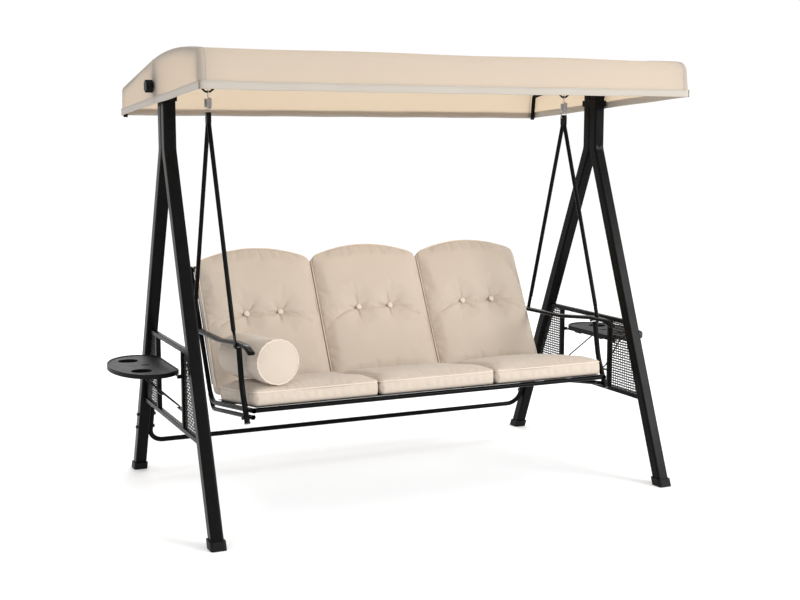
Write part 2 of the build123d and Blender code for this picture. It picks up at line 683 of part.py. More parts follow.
def seat_cross_rails():
    """Tubes along X: under the front edge, behind the seat, and across the top of the back."""
    side_bars = [round_bar(seat_tube_path(side), SEAT_TUBE) for side in SIDES]
    top = BACK_POINT + BACK_DIRECTION * ((BACK_TOP_Z - BACK_POINT.Z) / BACK_DIRECTION.Z - 12)
    middle = seat_tube_path("right") @ 0.40
    rails = []
    for spot in (SEAT_FRONT + SEAT_DIRECTION * 10, middle, top):
        path = Line((-SEAT_TUBE_X, spot.Y, spot.Z), (SEAT_TUBE_X, spot.Y, spot.Z))
        rail = round_tube(path, SEAT_TUBE - 1, 1.6)
        for bar in side_bars:
            rail -= bar
        rails.append(rail.solids().sort_by(SortBy.VOLUME)[-1])
    return rails


LOWER_RAIL = 18.0
LOWER_RAIL_DROP = 27.0


def lower_rail_path(side):
    """Along under the side rail, then up at the back to meet its bend."""
    x = SIDES[side] * SEAT_TUBE_X
    start = SEAT_FRONT - SEAT_NORMAL * LOWER_RAIL_DROP
    front = start + SEAT_DIRECTION * 18
    back = start + SEAT_DIRECTION * 566
    end = start + SEAT_DIRECTION * 606 + SEAT_NORMAL * 62
    return bend([at_x(front, x), at_x(back, x), at_x(end, x)], 40)


SUPPORT_POINTS = ((-341.0, 697.0), (-372.0, 546.0), (-432.0, 420.0))
SUPPORT_TUBE = 22.0
SUPPORT_BOLT_ALONG = 44.0


def support_bolt_spot():
    """Middle of the bolt that fixes an arm support to the lower rail."""
    return SEAT_FRONT - SEAT_NORMAL * LOWER_RAIL_DROP + SEAT_DIRECTION * SUPPORT_BOLT_ALONG


def seat_lower_rails():
    """Stiffening tubes a little under the seat's side rails, welded to their bends at the back."""
    rails = []
    spot = support_bolt_spot()
    for side, out in SIDES.items():
        rail = round_tube(lower_rail_path(side), LOWER_RAIL, 1.6)
        rail -= round_bar(seat_tube_path(side), SEAT_TUBE)
        rail -= x_hole(out * SEAT_TUBE_X, spot.Y, spot.Z, 30, BOLT_HOLE)
        rails.append(rail.solids().sort_by(SortBy.VOLUME)[-1])
    return rails


ARM_WIDTH = 30.0
ARM_THICKNESS = 16.0
ARM_POINTS = ((292.0, 680.0), (-70.0, 686.0), (-325.0, 712.0), (-430.0, 712.0), (-486.0, 695.0))


def arm_path(side):
    x = SIDES[side] * ARM_X
    return bend([(x, y, z) for y, z in ARM_POINTS], [400, 260, 110])


def arm(side):
    """A flattened tube armrest, nearly level, rising gently and turning down at its front end."""
    out = SIDES[side]
    body = square_bar(arm_path(side), ARM_WIDTH, ARM_THICKNESS, 7.5)
    nose = body.faces().sort_by(Axis.Y)[0]
    body = fillet(nose.edges(), 5)
    hollow = square_bar(arm_path(side), ARM_WIDTH - 3, ARM_THICKNESS - 3, 6)
    body -= hollow & block((-2000, ARM_POINTS[-1][0] + 9, 0), (2000, 1000, 1000))
    body -= round_bar(seat_tube_path(side), SEAT_TUBE)
    for bolt_y, bolt_z in HANGER_BOLT.values():
        body -= x_hole(out * ARM_X, bolt_y, bolt_z, 30, BOLT_HOLE)
    return body.solids().sort_by(SortBy.VOLUME)[-1]


def support_path(side):
    x = SIDES[side] * SUPPORT_X
    return bend([(x, y, z) for y, z in SUPPORT_POINTS], 300)


def arm_support(side):
    """The tube that stands under the front of an armrest and runs down past the seat rails."""
    tube = round_tube(support_path(side), SUPPORT_TUBE, 1.8)
    tube -= square_bar(arm_path(side), ARM_WIDTH, ARM_THICKNESS, 7.5)
    spot = support_bolt_spot()
    tube -= x_hole(SIDES[side] * SUPPORT_X, spot.Y, spot.Z, 30, BOLT_HOLE)
    tube = tube.solids().sort_by(SortBy.VOLUME)[-1]
    end = support_path(side) @ 1
    plug_direction = support_path(side) % 1
    plug = extrude(Plane(origin=end, x_dir=(1, 0, 0), z_dir=plug_direction) * Circle(SUPPORT_TUBE / 2 + 1), 5)
    return tube + plug


def seat_bolts():
    """Bolts from the hanger tabs through the arms, and from the arm supports through the lower rails."""
    bolts = []
    spot = support_bolt_spot()
    for out in SIDES.values():
        for bolt_y, bolt_z in HANGER_BOLT.values():
            start = HANGER_TAB_X[1]
            grip = start - (ARM_X - ARM_WIDTH / 2)
            bolts.append(x_bolt(out * start, bolt_y, bolt_z, -out, grip, nut=4, tail=1))
        start = SUPPORT_X + SUPPORT_TUBE / 2
        grip = start - (SEAT_TUBE_X - LOWER_RAIL / 2)
        bolts.append(x_bolt(out * start, spot.Y, spot.Z, -out, grip, nut=6, tail=2))
    return bolts


# ---- slings and cushions --------------------------------------------------------------------
SLING_HALF_WIDTH = 788.0


def seat_sling():
    """The fabric stretched over the seat rails, as a thin sheet."""
    start = SEAT_FRONT + SEAT_NORMAL * SLING_LIFT - SEAT_DIRECTION * 2
    length = (NOOK - SEAT_FRONT).length - 30
    sheet = Plane(origin=start + SEAT_DIRECTION * (length / 2), x_dir=(1, 0, 0), z_dir=SEAT_NORMAL)
    return extrude(sheet * Rectangle(2 * SLING_HALF_WIDTH, length), SLING)


def back_sling():
    """The fabric stretched over the back's side tubes, as a thin sheet."""
    top = BACK_POINT + BACK_DIRECTION * ((BACK_TOP_Z - BACK_POINT.Z) / BACK_DIRECTION.Z)
    low = CORNER + BACK_DIRECTION * 75
    length = (top - low).length
    middle = low + BACK_DIRECTION * (length / 2) + BACK_NORMAL * SLING_LIFT
    sheet = Plane(origin=middle, x_dir=(1, 0, 0), z_dir=BACK_NORMAL)
    return extrude(sheet * Rectangle(2 * SLING_HALF_WIDTH, length), SLING)


SEAT_CUSHION_DEPTH = 490.0
SEAT_CUSHION_EDGE = 62.0
SEAT_CUSHION_CROWN = 84.0
BACK_CUSHION_SHOULDER = 600.0
BACK_CUSHION_PEAK = 655.0
BACK_CUSHION_THICKNESS = 84.0
BUTTON_OFFSET = 78.0
BUTTON_HEIGHT = 336.0
BUTTON_RADIUS = 12.5
CUSHION_COLUMNS = {"left": -1, "middle": 0, "right": 1}


def seat_cushion(column):
    """A seat cushion: flat below, gently crowned above, with soft edges."""
    front = SEAT_FRONT + SEAT_NORMAL * CUSHION_LIFT + SEAT_DIRECTION * 6
    x = CUSHION_COLUMNS[column] * CUSHION_PITCH
    side_view = Plane(origin=at_x(front, x), x_dir=SEAT_DIRECTION, z_dir=SEAT_DIRECTION.cross(SEAT_NORMAL))
    depth, edge, crown = SEAT_CUSHION_DEPTH, SEAT_CUSHION_EDGE, SEAT_CUSHION_CROWN
    outline = Line((0, 0), (depth, 0)) + Line((depth, 0), (depth, edge))
    outline += ThreePointArc((depth, edge), (depth / 2, crown), (0, edge)) + Line((0, edge), (0, 0))
    body = extrude(side_view * make_face(outline), CUSHION_WIDTH / 2, both=True)
    return fillet(body.edges(), 17)


def back_plane(x, height, lift):
    """A plane that lies along the back, at a height up the back from the nook."""
    origin = at_x(NOOK + BACK_DIRECTION * height + BACK_NORMAL * lift, x)
    return Plane(origin=origin, x_dir=(1, 0, 0), z_dir=BACK_NORMAL)


def back_cushion(column):
    """A back cushion with an arched top, standing in the nook behind the seat cushion."""
    half = CUSHION_WIDTH / 2
    x = CUSHION_COLUMNS[column] * CUSHION_PITCH
    outline = Line((-half, 0), (half, 0)) + Line((half, 0), (half, BACK_CUSHION_SHOULDER))
    outline += ThreePointArc((half, BACK_CUSHION_SHOULDER), (0, BACK_CUSHION_PEAK), (-half, BACK_CUSHION_SHOULDER))
    outline += Line((-half, BACK_CUSHION_SHOULDER), (-half, 0))
    face = make_face(outline)
    face = fillet(face.vertices().group_by(Axis.Y)[1], 40)
    body = extrude(back_plane(x, 8, 0) * face, BACK_CUSHION_THICKNESS)
    return fillet(body.edges(), 20)


def cushion_buttons():
    """Two covered buttons on the front of each back cushion."""
    buttons = []
    for column in CUSHION_COLUMNS.values():
        for offset in (-BUTTON_OFFSET, BUTTON_OFFSET):
            seat_on = back_plane(column * CUSHION_PITCH + offset, BUTTON_HEIGHT, BACK_CUSHION_THICKNESS + 0.3)
            button = extrude(seat_on * Circle(BUTTON_RADIUS), 6)
            front_rim = button.edges().filter_by(GeomType.CIRCLE).sort_by(Axis.Y)[0]
            buttons.append(fillet(front_rim, 4))
    return buttons


BOLSTER_RADIUS = 93.0
BOLSTER_FRONT = Vector(-688.0, -425.0, 644.0)
BOLSTER_REAR = Vector(-722.0, -20.0, 613.0)


def bolster():
    """A loose round bolster lying along Y on the left seat cushion."""
    body = rod(BOLSTER_FRONT, BOLSTER_REAR, 2 * BOLSTER_RADIUS)
    return fillet(body.edges().filter_by(GeomType.CIRCLE), 12)


# ---- build ----------------------------------------------------------------------------------
def build():
    os.makedirs("parts", exist_ok=True)
    for side in SIDES:
        for which in LEGS:
            save(f"{which}_leg_{side}", leg(side, which))
            save(f"hanger_{which}_{side}", hanger(side, which))
        save(f"head_collar_{side}", head_collar(side))
        save(f"spring_hook_{side}", spring_hook(side))
        save(f"panel_rails_{side}", panel_rails(side))
        save(f"panel_uprights_{side}", panel_uprights(side))
        save(f"weave_panels_{side}", weave_panels(side))
        save(f"tray_hinge_{side}", tray_hinge(side))
        save(f"tray_{side}", tray(side))
        save(f"tray_stay_{side}", tray_stay(side))
        save(f"canopy_side_frame_{side}", canopy_side_frame(side))
        save(f"tilt_knob_{side}", tilt_knob(side))
        save(f"spring_{side}", spring(side))
        save(f"seat_side_frame_{side}", seat_side_frame(side))
        save(f"arm_{side}", arm(side))
        save(f"arm_support_{side}", arm_support(side))
    save("foot_caps", [foot_cap(side, which) for side in SIDES for which in LEGS])
    save("top_beam", top_beam())
    save("rear_crossbar", rear_crossbar())
    save("frame_bolts", frame_bolts())
    save("stay_clips", stay_clips())
    save("canopy_cover", canopy_cover())
    save("canopy_cross_tubes", canopy_cross_tubes())
    save("canopy_struts", canopy_struts())
    save("hanger_eyes", hanger_eyes())
    save("seat_cross_rails", seat_cross_rails())
    save("seat_lower_rails", seat_lower_rails())
    save("seat_bolts", seat_bolts())
    save("seat_sling", seat_sling())
    save("back_sling", back_sling())
    for column in CUSHION_COLUMNS:
        save(f"seat_cushion_{column}", seat_cushion(column))
        save(f"back_cushion_{column}", back_cushion(column))
    save("cushion_buttons", cushion_buttons())
    save("bolster", bolster())


build()
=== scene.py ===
"""Looks for the canopy swing bench: cloth, cushions, woven panels and every material.

Units are metres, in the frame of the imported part: +X along the bench, the bench faces -Y, +Z is up.
"""

import json
import math

import bpy
import numpy as np
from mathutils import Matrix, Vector


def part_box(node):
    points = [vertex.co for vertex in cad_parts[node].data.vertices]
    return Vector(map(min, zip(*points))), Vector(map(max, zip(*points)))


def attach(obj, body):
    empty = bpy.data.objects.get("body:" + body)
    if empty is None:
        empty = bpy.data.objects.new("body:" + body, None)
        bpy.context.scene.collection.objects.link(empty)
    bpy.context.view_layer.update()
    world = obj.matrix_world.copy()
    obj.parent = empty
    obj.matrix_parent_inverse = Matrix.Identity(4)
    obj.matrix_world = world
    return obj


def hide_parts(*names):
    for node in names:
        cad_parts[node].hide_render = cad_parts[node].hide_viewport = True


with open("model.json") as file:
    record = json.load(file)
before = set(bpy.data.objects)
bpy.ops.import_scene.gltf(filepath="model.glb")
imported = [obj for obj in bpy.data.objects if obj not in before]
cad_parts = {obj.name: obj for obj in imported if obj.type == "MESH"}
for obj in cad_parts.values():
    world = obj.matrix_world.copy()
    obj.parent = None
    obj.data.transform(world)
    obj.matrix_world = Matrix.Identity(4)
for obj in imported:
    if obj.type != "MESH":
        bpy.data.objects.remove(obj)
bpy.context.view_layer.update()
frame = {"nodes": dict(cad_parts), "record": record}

SIDES = {"left": -1, "right": 1}
COLUMNS = ("left", "middle", "right")

# ---- driving values: slopes of the seat and back, as in the CAD part ------------------------
SEAT_SLOPE = math.radians(7.8)
BACK_LEAN = math.radians(28.0)
ALONG_X = np.array([1.0, 0.0, 0.0])
SEAT_ALONG = np.array([0.0, math.cos(SEAT_SLOPE), -math.sin(SEAT_SLOPE)])
SEAT_NORMAL = np.array([0.0, math.sin(SEAT_SLOPE), math.cos(SEAT_SLOPE)])
BACK_ALONG = np.array([0.0, math.sin(BACK_LEAN), math.cos(BACK_LEAN)])
BACK_NORMAL = np.array([0.0, -math.cos(BACK_LEAN), math.sin(BACK_LEAN)])

# ---- driving values: cushions ---------------------------------------------------------------
SEAT_SEAM_HEIGHT = 0.054
SEAT_EDGE_HEIGHT = 0.064
SEAT_CROWN = 0.077
BACK_SEAM_HEIGHT = 0.056
BACK_EDGE_HEIGHT = 0.066
BACK_CROWN = 0.084
BACK_ARCH = 0.055
SIDE_GAP = 0.0038
SEAM_CORD = 0.0026
BUTTON_OFFSET = 0.078
BUTTON_HEIGHT = 0.336
BUTTON_RADIUS = 0.0132
BUTTON_DEPTH = 0.020
SWELL_LIMIT = 0.013

# ---- driving values: canopy cloth -----------------------------------------------------------
HEM_RISE = 0.072            # the front hem is this much above the rear hem
REAR_SHOULDER_IN = 0.016
REAR_SHOULDER_UP = 0.121
RIDGE_BACK = 0.456
FRONT_SHOULDER_IN = 0.016
FRONT_SHOULDER_UP = 0.213
RIDGE_UP = 0.250
END_CORNER = 0.017
END_SEAM_IN = 0.024
HEM_BAND = 0.028


# ---- mesh helpers ---------------------------------------------------------------------------
def make_mesh(name, points, faces, material):
    """A smooth-shaded mesh object with one material."""
    mesh = bpy.data.meshes.new(name)
    mesh.from_pydata([tuple(float(value) for value in point) for point in points], [], faces)
    mesh.validate()
    mesh.polygons.foreach_set("use_smooth", [True] * len(mesh.polygons))
    mesh.materials.append(material)
    piece = bpy.data.objects.new(name, mesh)
    bpy.context.scene.collection.objects.link(piece)
    return piece


def get_points(piece):
    points = np.zeros(len(piece.data.vertices) * 3)
    piece.data.vertices.foreach_get("co", points)
    return points.reshape(-1, 3)


def set_points(piece, points):
    piece.data.vertices.foreach_set("co", points.ravel())
    piece.data.update()


def get_normals(piece):
    normals = np.zeros(len(piece.data.vertices) * 3)
    piece.data.vertex_normals.foreach_get("vector", normals)
    return normals.reshape(-1, 3)


def span(node, direction):
    """Lowest and highest distance of a CAD node along a direction."""
    along = get_points(frame["nodes"][node]) @ direction
    return along.min(), along.max()


def grid_faces(rows, columns, first=0, flip=False):
    """Quads of a grid whose points run row by row."""
    faces = []
    for row in range(rows - 1):
        for column in range(columns - 1):
            corner = first + row * columns + column
            quad = (corner, corner + 1, corner + columns + 1, corner + columns)
            faces.append(quad[::-1] if flip else quad)
    return faces


def tube_along(path, radius, segments=8, closed=False):
    """Points and faces of a round tube that follows a path of points."""
    path = np.asarray(path, float)
    count = len(path)
    if closed:
        forward = np.roll(path, -1, axis=0) - np.roll(path, 1, axis=0)
    else:
        forward = np.gradient(path, axis=0)
    forward /= np.linalg.norm(forward, axis=1)[:, None]
    guide = np.array([0.31, 0.17, 0.93])
    side = np.cross(forward, guide)
    side /= np.linalg.norm(side, axis=1)[:, None]
    up = np.cross(side, forward)
    points = []
    for index in range(count):
        for step in range(segments):
            angle = 2 * math.pi * step / segments
            spoke = math.cos(angle) * side[index] + math.sin(angle) * up[index]
            points.append(path[index] + radius * spoke)
    faces = []
    for index in range(count if closed else count - 1):
        here, there = index * segments, (index + 1) % count * segments
        for step in range(segments):
            turn = (step + 1) % segments
            faces.append((here + step, here + turn, there + turn, there + step))
    if not closed:
        faces.append(tuple(range(segments))[::-1])
        faces.append(tuple(range((count - 1) * segments, count * segments)))
    return points, faces


def joined(parts):
    """Points and faces of several small meshes as one."""
    points, faces = [], []
    for part_points, part_faces in parts:
        first = len(points)
        points.extend(part_points)
        faces.extend([tuple(first + index for index in face) for face in part_faces])
    return points, faces


# ---- material helpers -----------------------------------------------------------------------
def new_material(name, base, roughness, metallic=0.0):
    """A material and its node tree, with the plain values set on its shader."""
    material = bpy.data.materials.new(name)
    material.use_nodes = True
    tree = material.node_tree
    shader = tree.nodes["Principled BSDF"]
    shader.inputs["Base Color"].default_value = (*base, 1.0)
    shader.inputs["Roughness"].default_value = roughness
    shader.inputs["Metallic"].default_value = metallic
    return material, tree, shader


def add_node(tree, kind, **settings):
    node = tree.nodes.new(kind)
    for key, value in settings.items():
        if key in node.inputs:
            node.inputs[key].default_value = value
        else:
            setattr(node, key, value)
    return node


def place(tree):
    return add_node(tree, "ShaderNodeTexCoord").outputs["Object"]


def noise(tree, scale, detail=3.0, roughness=0.55):
    texture = add_node(tree, "ShaderNodeTexNoise", Scale=scale, Detail=detail, Roughness=roughness)
    tree.links.new(place(tree), texture.inputs["Vector"])
    return texture.outputs["Fac"]


def math_node(tree, operation, first, second):
    node = add_node(tree, "ShaderNodeMath", operation=operation)
    for socket, value in zip(node.inputs, (first, second)):
        if isinstance(value, (int, float)):
            socket.default_value = value
        else:
            tree.links.new(value, socket)
    return node.outputs[0]


def remap(tree, value, low, high):
    node = add_node(tree, "ShaderNodeMapRange")
    node.inputs["To Min"].default_value = low
    node.inputs["To Max"].default_value = high
    tree.links.new(value, node.inputs["Value"])
    return node.outputs["Result"]


def add_bump(tree, shader, height, strength, distance, under=None):
    bump = add_node(tree, "ShaderNodeBump", Strength=strength, Distance=distance)
    tree.links.new(height, bump.inputs["Height"])
    if under is not None:
        tree.links.new(under, bump.inputs["Normal"])
    tree.links.new(bump.outputs["Normal"], shader.inputs["Normal"])
    return bump.outputs["Normal"]


def mix_colour(tree, factor, first, second):
    node = add_node(tree, "ShaderNodeMix", data_type="RGBA")
    tree.links.new(factor, node.inputs["Factor"])
    for socket, colour in zip([s for s in node.inputs if s.type == "RGBA"], (first, second)):
        socket.default_value = (*colour, 1.0)
    return [s for s in node.outputs if s.type == "RGBA"][0]


def shade(colour, factor):
    return tuple(min(1.0, channel * factor) for channel in colour)


# ---- materials ------------------------------------------------------------------------------
def black_steel():
    """Glossy black powder coat with a faint orange-peel surface."""
    material, tree, shader = new_material("black_steel", (0.005, 0.005, 0.005), 0.26)
    shader.inputs["Specular IOR Level"].default_value = 0.05
    tree.links.new(remap(tree, noise(tree, 9.0), 0.18, 0.32), shader.inputs["Roughness"])
    tree.links.new(mix_colour(tree, noise(tree, 22.0), (0.003, 0.003, 0.003), (0.007, 0.007, 0.007)),
                   shader.inputs["Base Color"])
    add_bump(tree, shader, noise(tree, 620.0, 2.0), 0.10, 0.0006)
    return material


def black_plastic():
    """Black moulded plastic with a fine grain."""
    material, tree, shader = new_material("black_plastic", (0.007, 0.007, 0.007), 0.42)
    shader.inputs["Specular IOR Level"].default_value = 0.08
    tree.links.new(remap(tree, noise(tree, 30.0), 0.36, 0.52), shader.inputs["Roughness"])
    tree.links.new(mix_colour(tree, noise(tree, 55.0), (0.005, 0.005, 0.005), (0.010, 0.010, 0.010)),
                   shader.inputs["Base Color"])
    add_bump(tree, shader, noise(tree, 1500.0, 4.0), 0.22, 0.0005)
    return material


def zinc_steel():
    """Zinc-plated spring wire with drawn streaks and dull patches."""
    material, tree, shader = new_material("zinc_steel", (0.42, 0.42, 0.42), 0.25, metallic=1.0)
    tree.links.new(remap(tree, noise(tree, 160.0), 0.22, 0.48), shader.inputs["Roughness"])
    tree.links.new(mix_colour(tree, noise(tree, 90.0), (0.30, 0.30, 0.30), (0.55, 0.55, 0.54)),
                   shader.inputs["Base Color"])
    add_bump(tree, shader, noise(tree, 2500.0, 2.0), 0.15, 0.0002)
    return material


def bolt_steel():
    """Blackened bolts, a little rubbed."""
    material, tree, shader = new_material("bolt_steel", (0.03, 0.03, 0.032), 0.35, metallic=0.7)
    tree.links.new(remap(tree, noise(tree, 300.0), 0.25, 0.5), shader.inputs["Roughness"])
    tree.links.new(mix_colour(tree, noise(tree, 210.0), (0.020, 0.020, 0.022), (0.055, 0.055, 0.058)),
                   shader.inputs["Base Color"])
    add_bump(tree, shader, noise(tree, 1900.0, 2.0), 0.12, 0.0003)
    return material


def wicker():
    """Dark extruded strands with a streaky surface."""
    material, tree, shader = new_material("woven_mesh", (0.012, 0.011, 0.010), 0.45)
    shader.inputs["Specular IOR Level"].default_value = 0.25
    tree.links.new(mix_colour(tree, noise(tree, 260.0), (0.006, 0.006, 0.005), (0.026, 0.023, 0.020)),
                   shader.inputs["Base Color"])
    tree.links.new(remap(tree, noise(tree, 90.0), 0.36, 0.56), shader.inputs["Roughness"])
    add_bump(tree, shader, noise(tree, 1400.0, 2.0), 0.35, 0.0006)
    return material


def weave_height(tree, pitch):
    """Height of a plain weave, worked out from object coordinates."""
    split = add_node(tree, "ShaderNodeSeparateXYZ")
    tree.links.new(place(tree), split.inputs[0])
    down = math_node(tree, "ADD", split.outputs["Y"], split.outputs["Z"])
    turns = 2 * math.pi / pitch
    across_wave = math_node(tree, "SINE", math_node(tree, "MULTIPLY", split.outputs["X"], turns), 0)
    down_wave = math_node(tree, "SINE", math_node(tree, "MULTIPLY", down, turns), 0)
    return math_node(tree, "MULTIPLY", across_wave, down_wave)


def fabric(name, colour, pitch, see_through=0.0, mottle=0.05, relief=0.30):
    """Woven cloth: thread relief, slubs, soft shade variation and sheen."""
    material, tree, shader = new_material(name, colour, 0.85)
    shader.inputs["Sheen Weight"].default_value = 0.22
    shader.inputs["Sheen Roughness"].default_value = 0.45
    shader.inputs["Specular IOR Level"].default_value = 0.22
    threads = weave_height(tree, pitch)
    slubs = noise(tree, 420.0, 4.0, 0.7)
    clouds = noise(tree, 7.0, 4.0)
    broad = math_node(tree, "MULTIPLY", clouds, 0.62)
    fine = math_node(tree, "MULTIPLY", slubs, 0.38)
    blend = math_node(tree, "ADD", broad, fine)
    toned = mix_colour(tree, blend, shade(colour, 1 - mottle), shade(colour, 1 + mottle))
    tree.links.new(toned, shader.inputs["Base Color"])
    tree.links.new(remap(tree, slubs, 0.78, 0.94), shader.inputs["Roughness"])
    soft = add_bump(tree, shader, noise(tree, 38.0, 3.0), 0.10, 0.004)
    add_bump(tree, shader, math_node(tree, "ADD", threads, slubs), relief, 0.0004, under=soft)
    if see_through:
        glow = add_node(tree, "ShaderNodeBsdfTranslucent")
        glow.inputs["Color"].default_value = (*CANOPY_GLOW, 1.0)
        mix = add_node(tree, "ShaderNodeMixShader")
        mix.inputs[0].default_value = see_through
        tree.links.new(shader.outputs[0], mix.inputs[1])
        tree.links.new(glow.outputs[0], mix.inputs[2])
        tree.links.new(mix.outputs[0], tree.nodes["Material Output"].inputs["Surface"])
    return material


def pale_floor():
    """A plain white floor, lit a little from itself so that it stays white far from the lights."""
    material, tree, shader = new_material("floor", (0.93, 0.93, 0.93), 0.8)
    shader.inputs["Emission Color"].default_value = (1.0, 1.0, 1.0, 1.0)
    shader.inputs["Emission Strength"].default_value = 0.13
    tree.links.new(remap(tree, noise(tree, 2.0), 0.62, 0.78), shader.inputs["Roughness"])
    return material


CUSHION_COLOUR = (0.545, 0.468, 0.392)
CANOPY_COLOUR = (0.505, 0.46, 0.405)
THREAD_COLOUR = (0.44, 0.37, 0.30)
CANOPY_GLOW = (0.92, 0.72, 0.50)

MATERIALS = {
    "black_steel": black_steel(),
    "black_plastic": black_plastic(),
    "zinc_steel": zinc_steel(),
    "bolt_steel": bolt_steel(),
    "woven_mesh": wicker(),
    "canopy_fabric": fabric("canopy_fabric", CANOPY_COLOUR, 0.0011, see_through=0.42, mottle=0.03,
                            relief=0.22),
    "cushion_fabric": fabric("cushion_fabric", CUSHION_COLOUR, 0.0013),
    "sling_fabric": fabric("sling_fabric", (0.055, 0.050, 0.046), 0.0030, mottle=0.2, relief=0.6),
}
WELT = fabric("canopy_welt", shade(CANOPY_COLOUR, 0.84), 0.0012)
THREAD = fabric("sewing_thread", THREAD_COLOUR, 0.0006, mottle=0.08)
# Piping and button cloth: the cushion colour lightened by 1.28. The cords are real, but their lighter tone is a
# painted highlight along the seams and on the buttons.
PIPING_PAINTED_HIGHLIGHT = fabric("piping", shade(CUSHION_COLOUR, 1.28), 0.0010)


def dress_cad_nodes():
    """Gives every CAD node the detailed material of its slot."""
    for part in frame["record"]["subparts"]:
        node = frame["nodes"][part["node"]]
        material = MATERIALS[part["material_slot"]]
        for slot in node.material_slots:
            slot.material = material
        if not node.material_slots:
            node.data.materials.append(material)


# ---- cushions -------------------------------------------------------------------------------
def edge_spacing(length, step):
    """Positions from 0 to length: close together near both ends, even between them."""
    near = np.array([0.0, 0.003, 0.007, 0.012, 0.018, 0.026])
    count = int((length - 2 * near[-1]) / step)
    middle = np.linspace(near[-1], length - near[-1], count + 1)[1:-1]
    return np.concatenate([near, middle, (length - near)[::-1]])


def round_corner(a, b, half, length, radius):
    """Moves grid points near the four corners of a rectangle so that the corners are round."""
    from_side = np.clip((np.abs(a) - (half - radius)) / radius, 0, 1)
    mid = length / 2
    from_end = np.clip((np.abs(b - mid) - (mid - radius)) / radius, 0, 1)
    corner = (from_side > 0) & (from_end > 0)
    side_new = from_side * np.sqrt(1 - from_end ** 2 / 2)
    end_new = from_end * np.sqrt(1 - from_side ** 2 / 2)
    a = np.where(corner, np.sign(a) * (half - radius + radius * side_new), a)
    b = np.where(corner, mid + np.sign(b - mid) * (mid - radius + radius * end_new), b)
    return a, b


class Pad:
    """A boxed cushion as a closed grid mesh: lower panel, side band with two seams, upper panel."""

    BAND_ROWS = 7

    def __init__(self, half, length, arch, corner, heights, step=0.0095):
        self.half, self.length, self.arch = half, length, arch
        self.seam, self.edge, self.crown = heights
        across = edge_spacing(2 * half, step) - half
        down = edge_spacing(length, step)
        self.columns, self.rows = len(across), len(down)
        grid_a, grid_b = np.meshgrid(across, down)
        inside = np.minimum(half - np.abs(grid_a), np.minimum(grid_b, length - grid_b))
        self.a, flat_b = round_corner(grid_a, grid_b, half, length, corner)
        rise = self.arch * (1 - (self.a / half) ** 2) * np.clip(flat_b / length, 0, 1) ** 2
        self.b = flat_b + rise
        self.inside = inside
        self.build()

    def rim(self):
        """Grid indices of the outline, in order round it."""
        rows, columns = self.rows, self.columns
        lower = [(0, column) for column in range(columns)]
        right = [(row, columns - 1) for row in range(1, rows)]
        upper = [(rows - 1, column) for column in range(columns - 2, -1, -1)]
        left = [(row, 0) for row in range(rows - 2, 0, -1)]
        return [row * columns + column for row, column in lower + right + upper + left]

    def build(self):
        roll = 0.013
        near = np.clip(self.inside / roll, 0, 1)
        rounded = np.sqrt(1 - (1 - near) ** 2)
        swell = np.clip(self.inside / (0.8 * self.half), 0, 1)
        swell = swell * (2 - swell)
        top = self.seam + (self.edge - self.seam) * rounded + (self.crown - self.edge) * swell
        base = 0.010 * (1 - rounded)
        flat = np.stack([self.a.ravel(), self.b.ravel()], axis=1)
        lower = np.column_stack([flat, base.ravel()])
        upper = np.column_stack([flat, top.ravel()])
        rim = self.rim()
        ring = flat[rim]
        forward = np.roll(ring, -1, axis=0) - np.roll(ring, 1, axis=0)
        outward = np.stack([forward[:, 1], -forward[:, 0]], axis=1)
        outward /= np.linalg.norm(outward, axis=1)[:, None]
        low_z, high_z = lower[rim][:, 2], upper[rim][:, 2]
        band = []
        for row in range(1, self.BAND_ROWS):
            share = row / self.BAND_ROWS
            bulge = 0.0018 * math.sin(math.pi * share) ** 0.6
            height = low_z + (high_z - low_z) * share
            band.append(np.column_stack([ring + outward * bulge, height]))
        self.local = np.concatenate([lower, upper] + band)
        size = self.rows * self.columns
        loops = [rim] + [list(range(2 * size + row * len(rim), 2 * size + (row + 1) * len(rim)))
                         for row in range(self.BAND_ROWS - 1)] + [[size + index for index in rim]]
        faces = grid_faces(self.rows, self.columns, 0, flip=True)
        faces += grid_faces(self.rows, self.columns, size)
        for below, above in zip(loops[:-1], loops[1:]):
            for index in range(len(rim)):
                turn = (index + 1) % len(rim)
                faces.append((below[index], below[turn], above[turn], above[index]))
        self.faces = faces
        self.lower_indices = list(range(size))
        self.seams = (loops[0], loops[-1])

    def press(self, spots, depth, radius):
        """Pushes the upper panel in at some spots, and returns the points that the buttons hold."""
        held = []
        first = self.rows * self.columns
        for spot_a, spot_b in spots:
            away = np.hypot(self.a.ravel() - spot_a, self.b.ravel() - spot_b)
            self.local[first:2 * first, 2] -= depth * np.exp(-(away / radius) ** 1.5)
            held.extend((first + np.where(away < 0.012)[0]).tolist())
        return held


def to_row_frame(local, origin, along, normal, middle_x):
    """Local width, length and height become points in the row frame."""
    return (np.outer(local[:, 0] + middle_x, ALONG_X)
            + np.outer(local[:, 1] + origin[0], along)
            + np.outer(local[:, 2] + origin[1], normal))


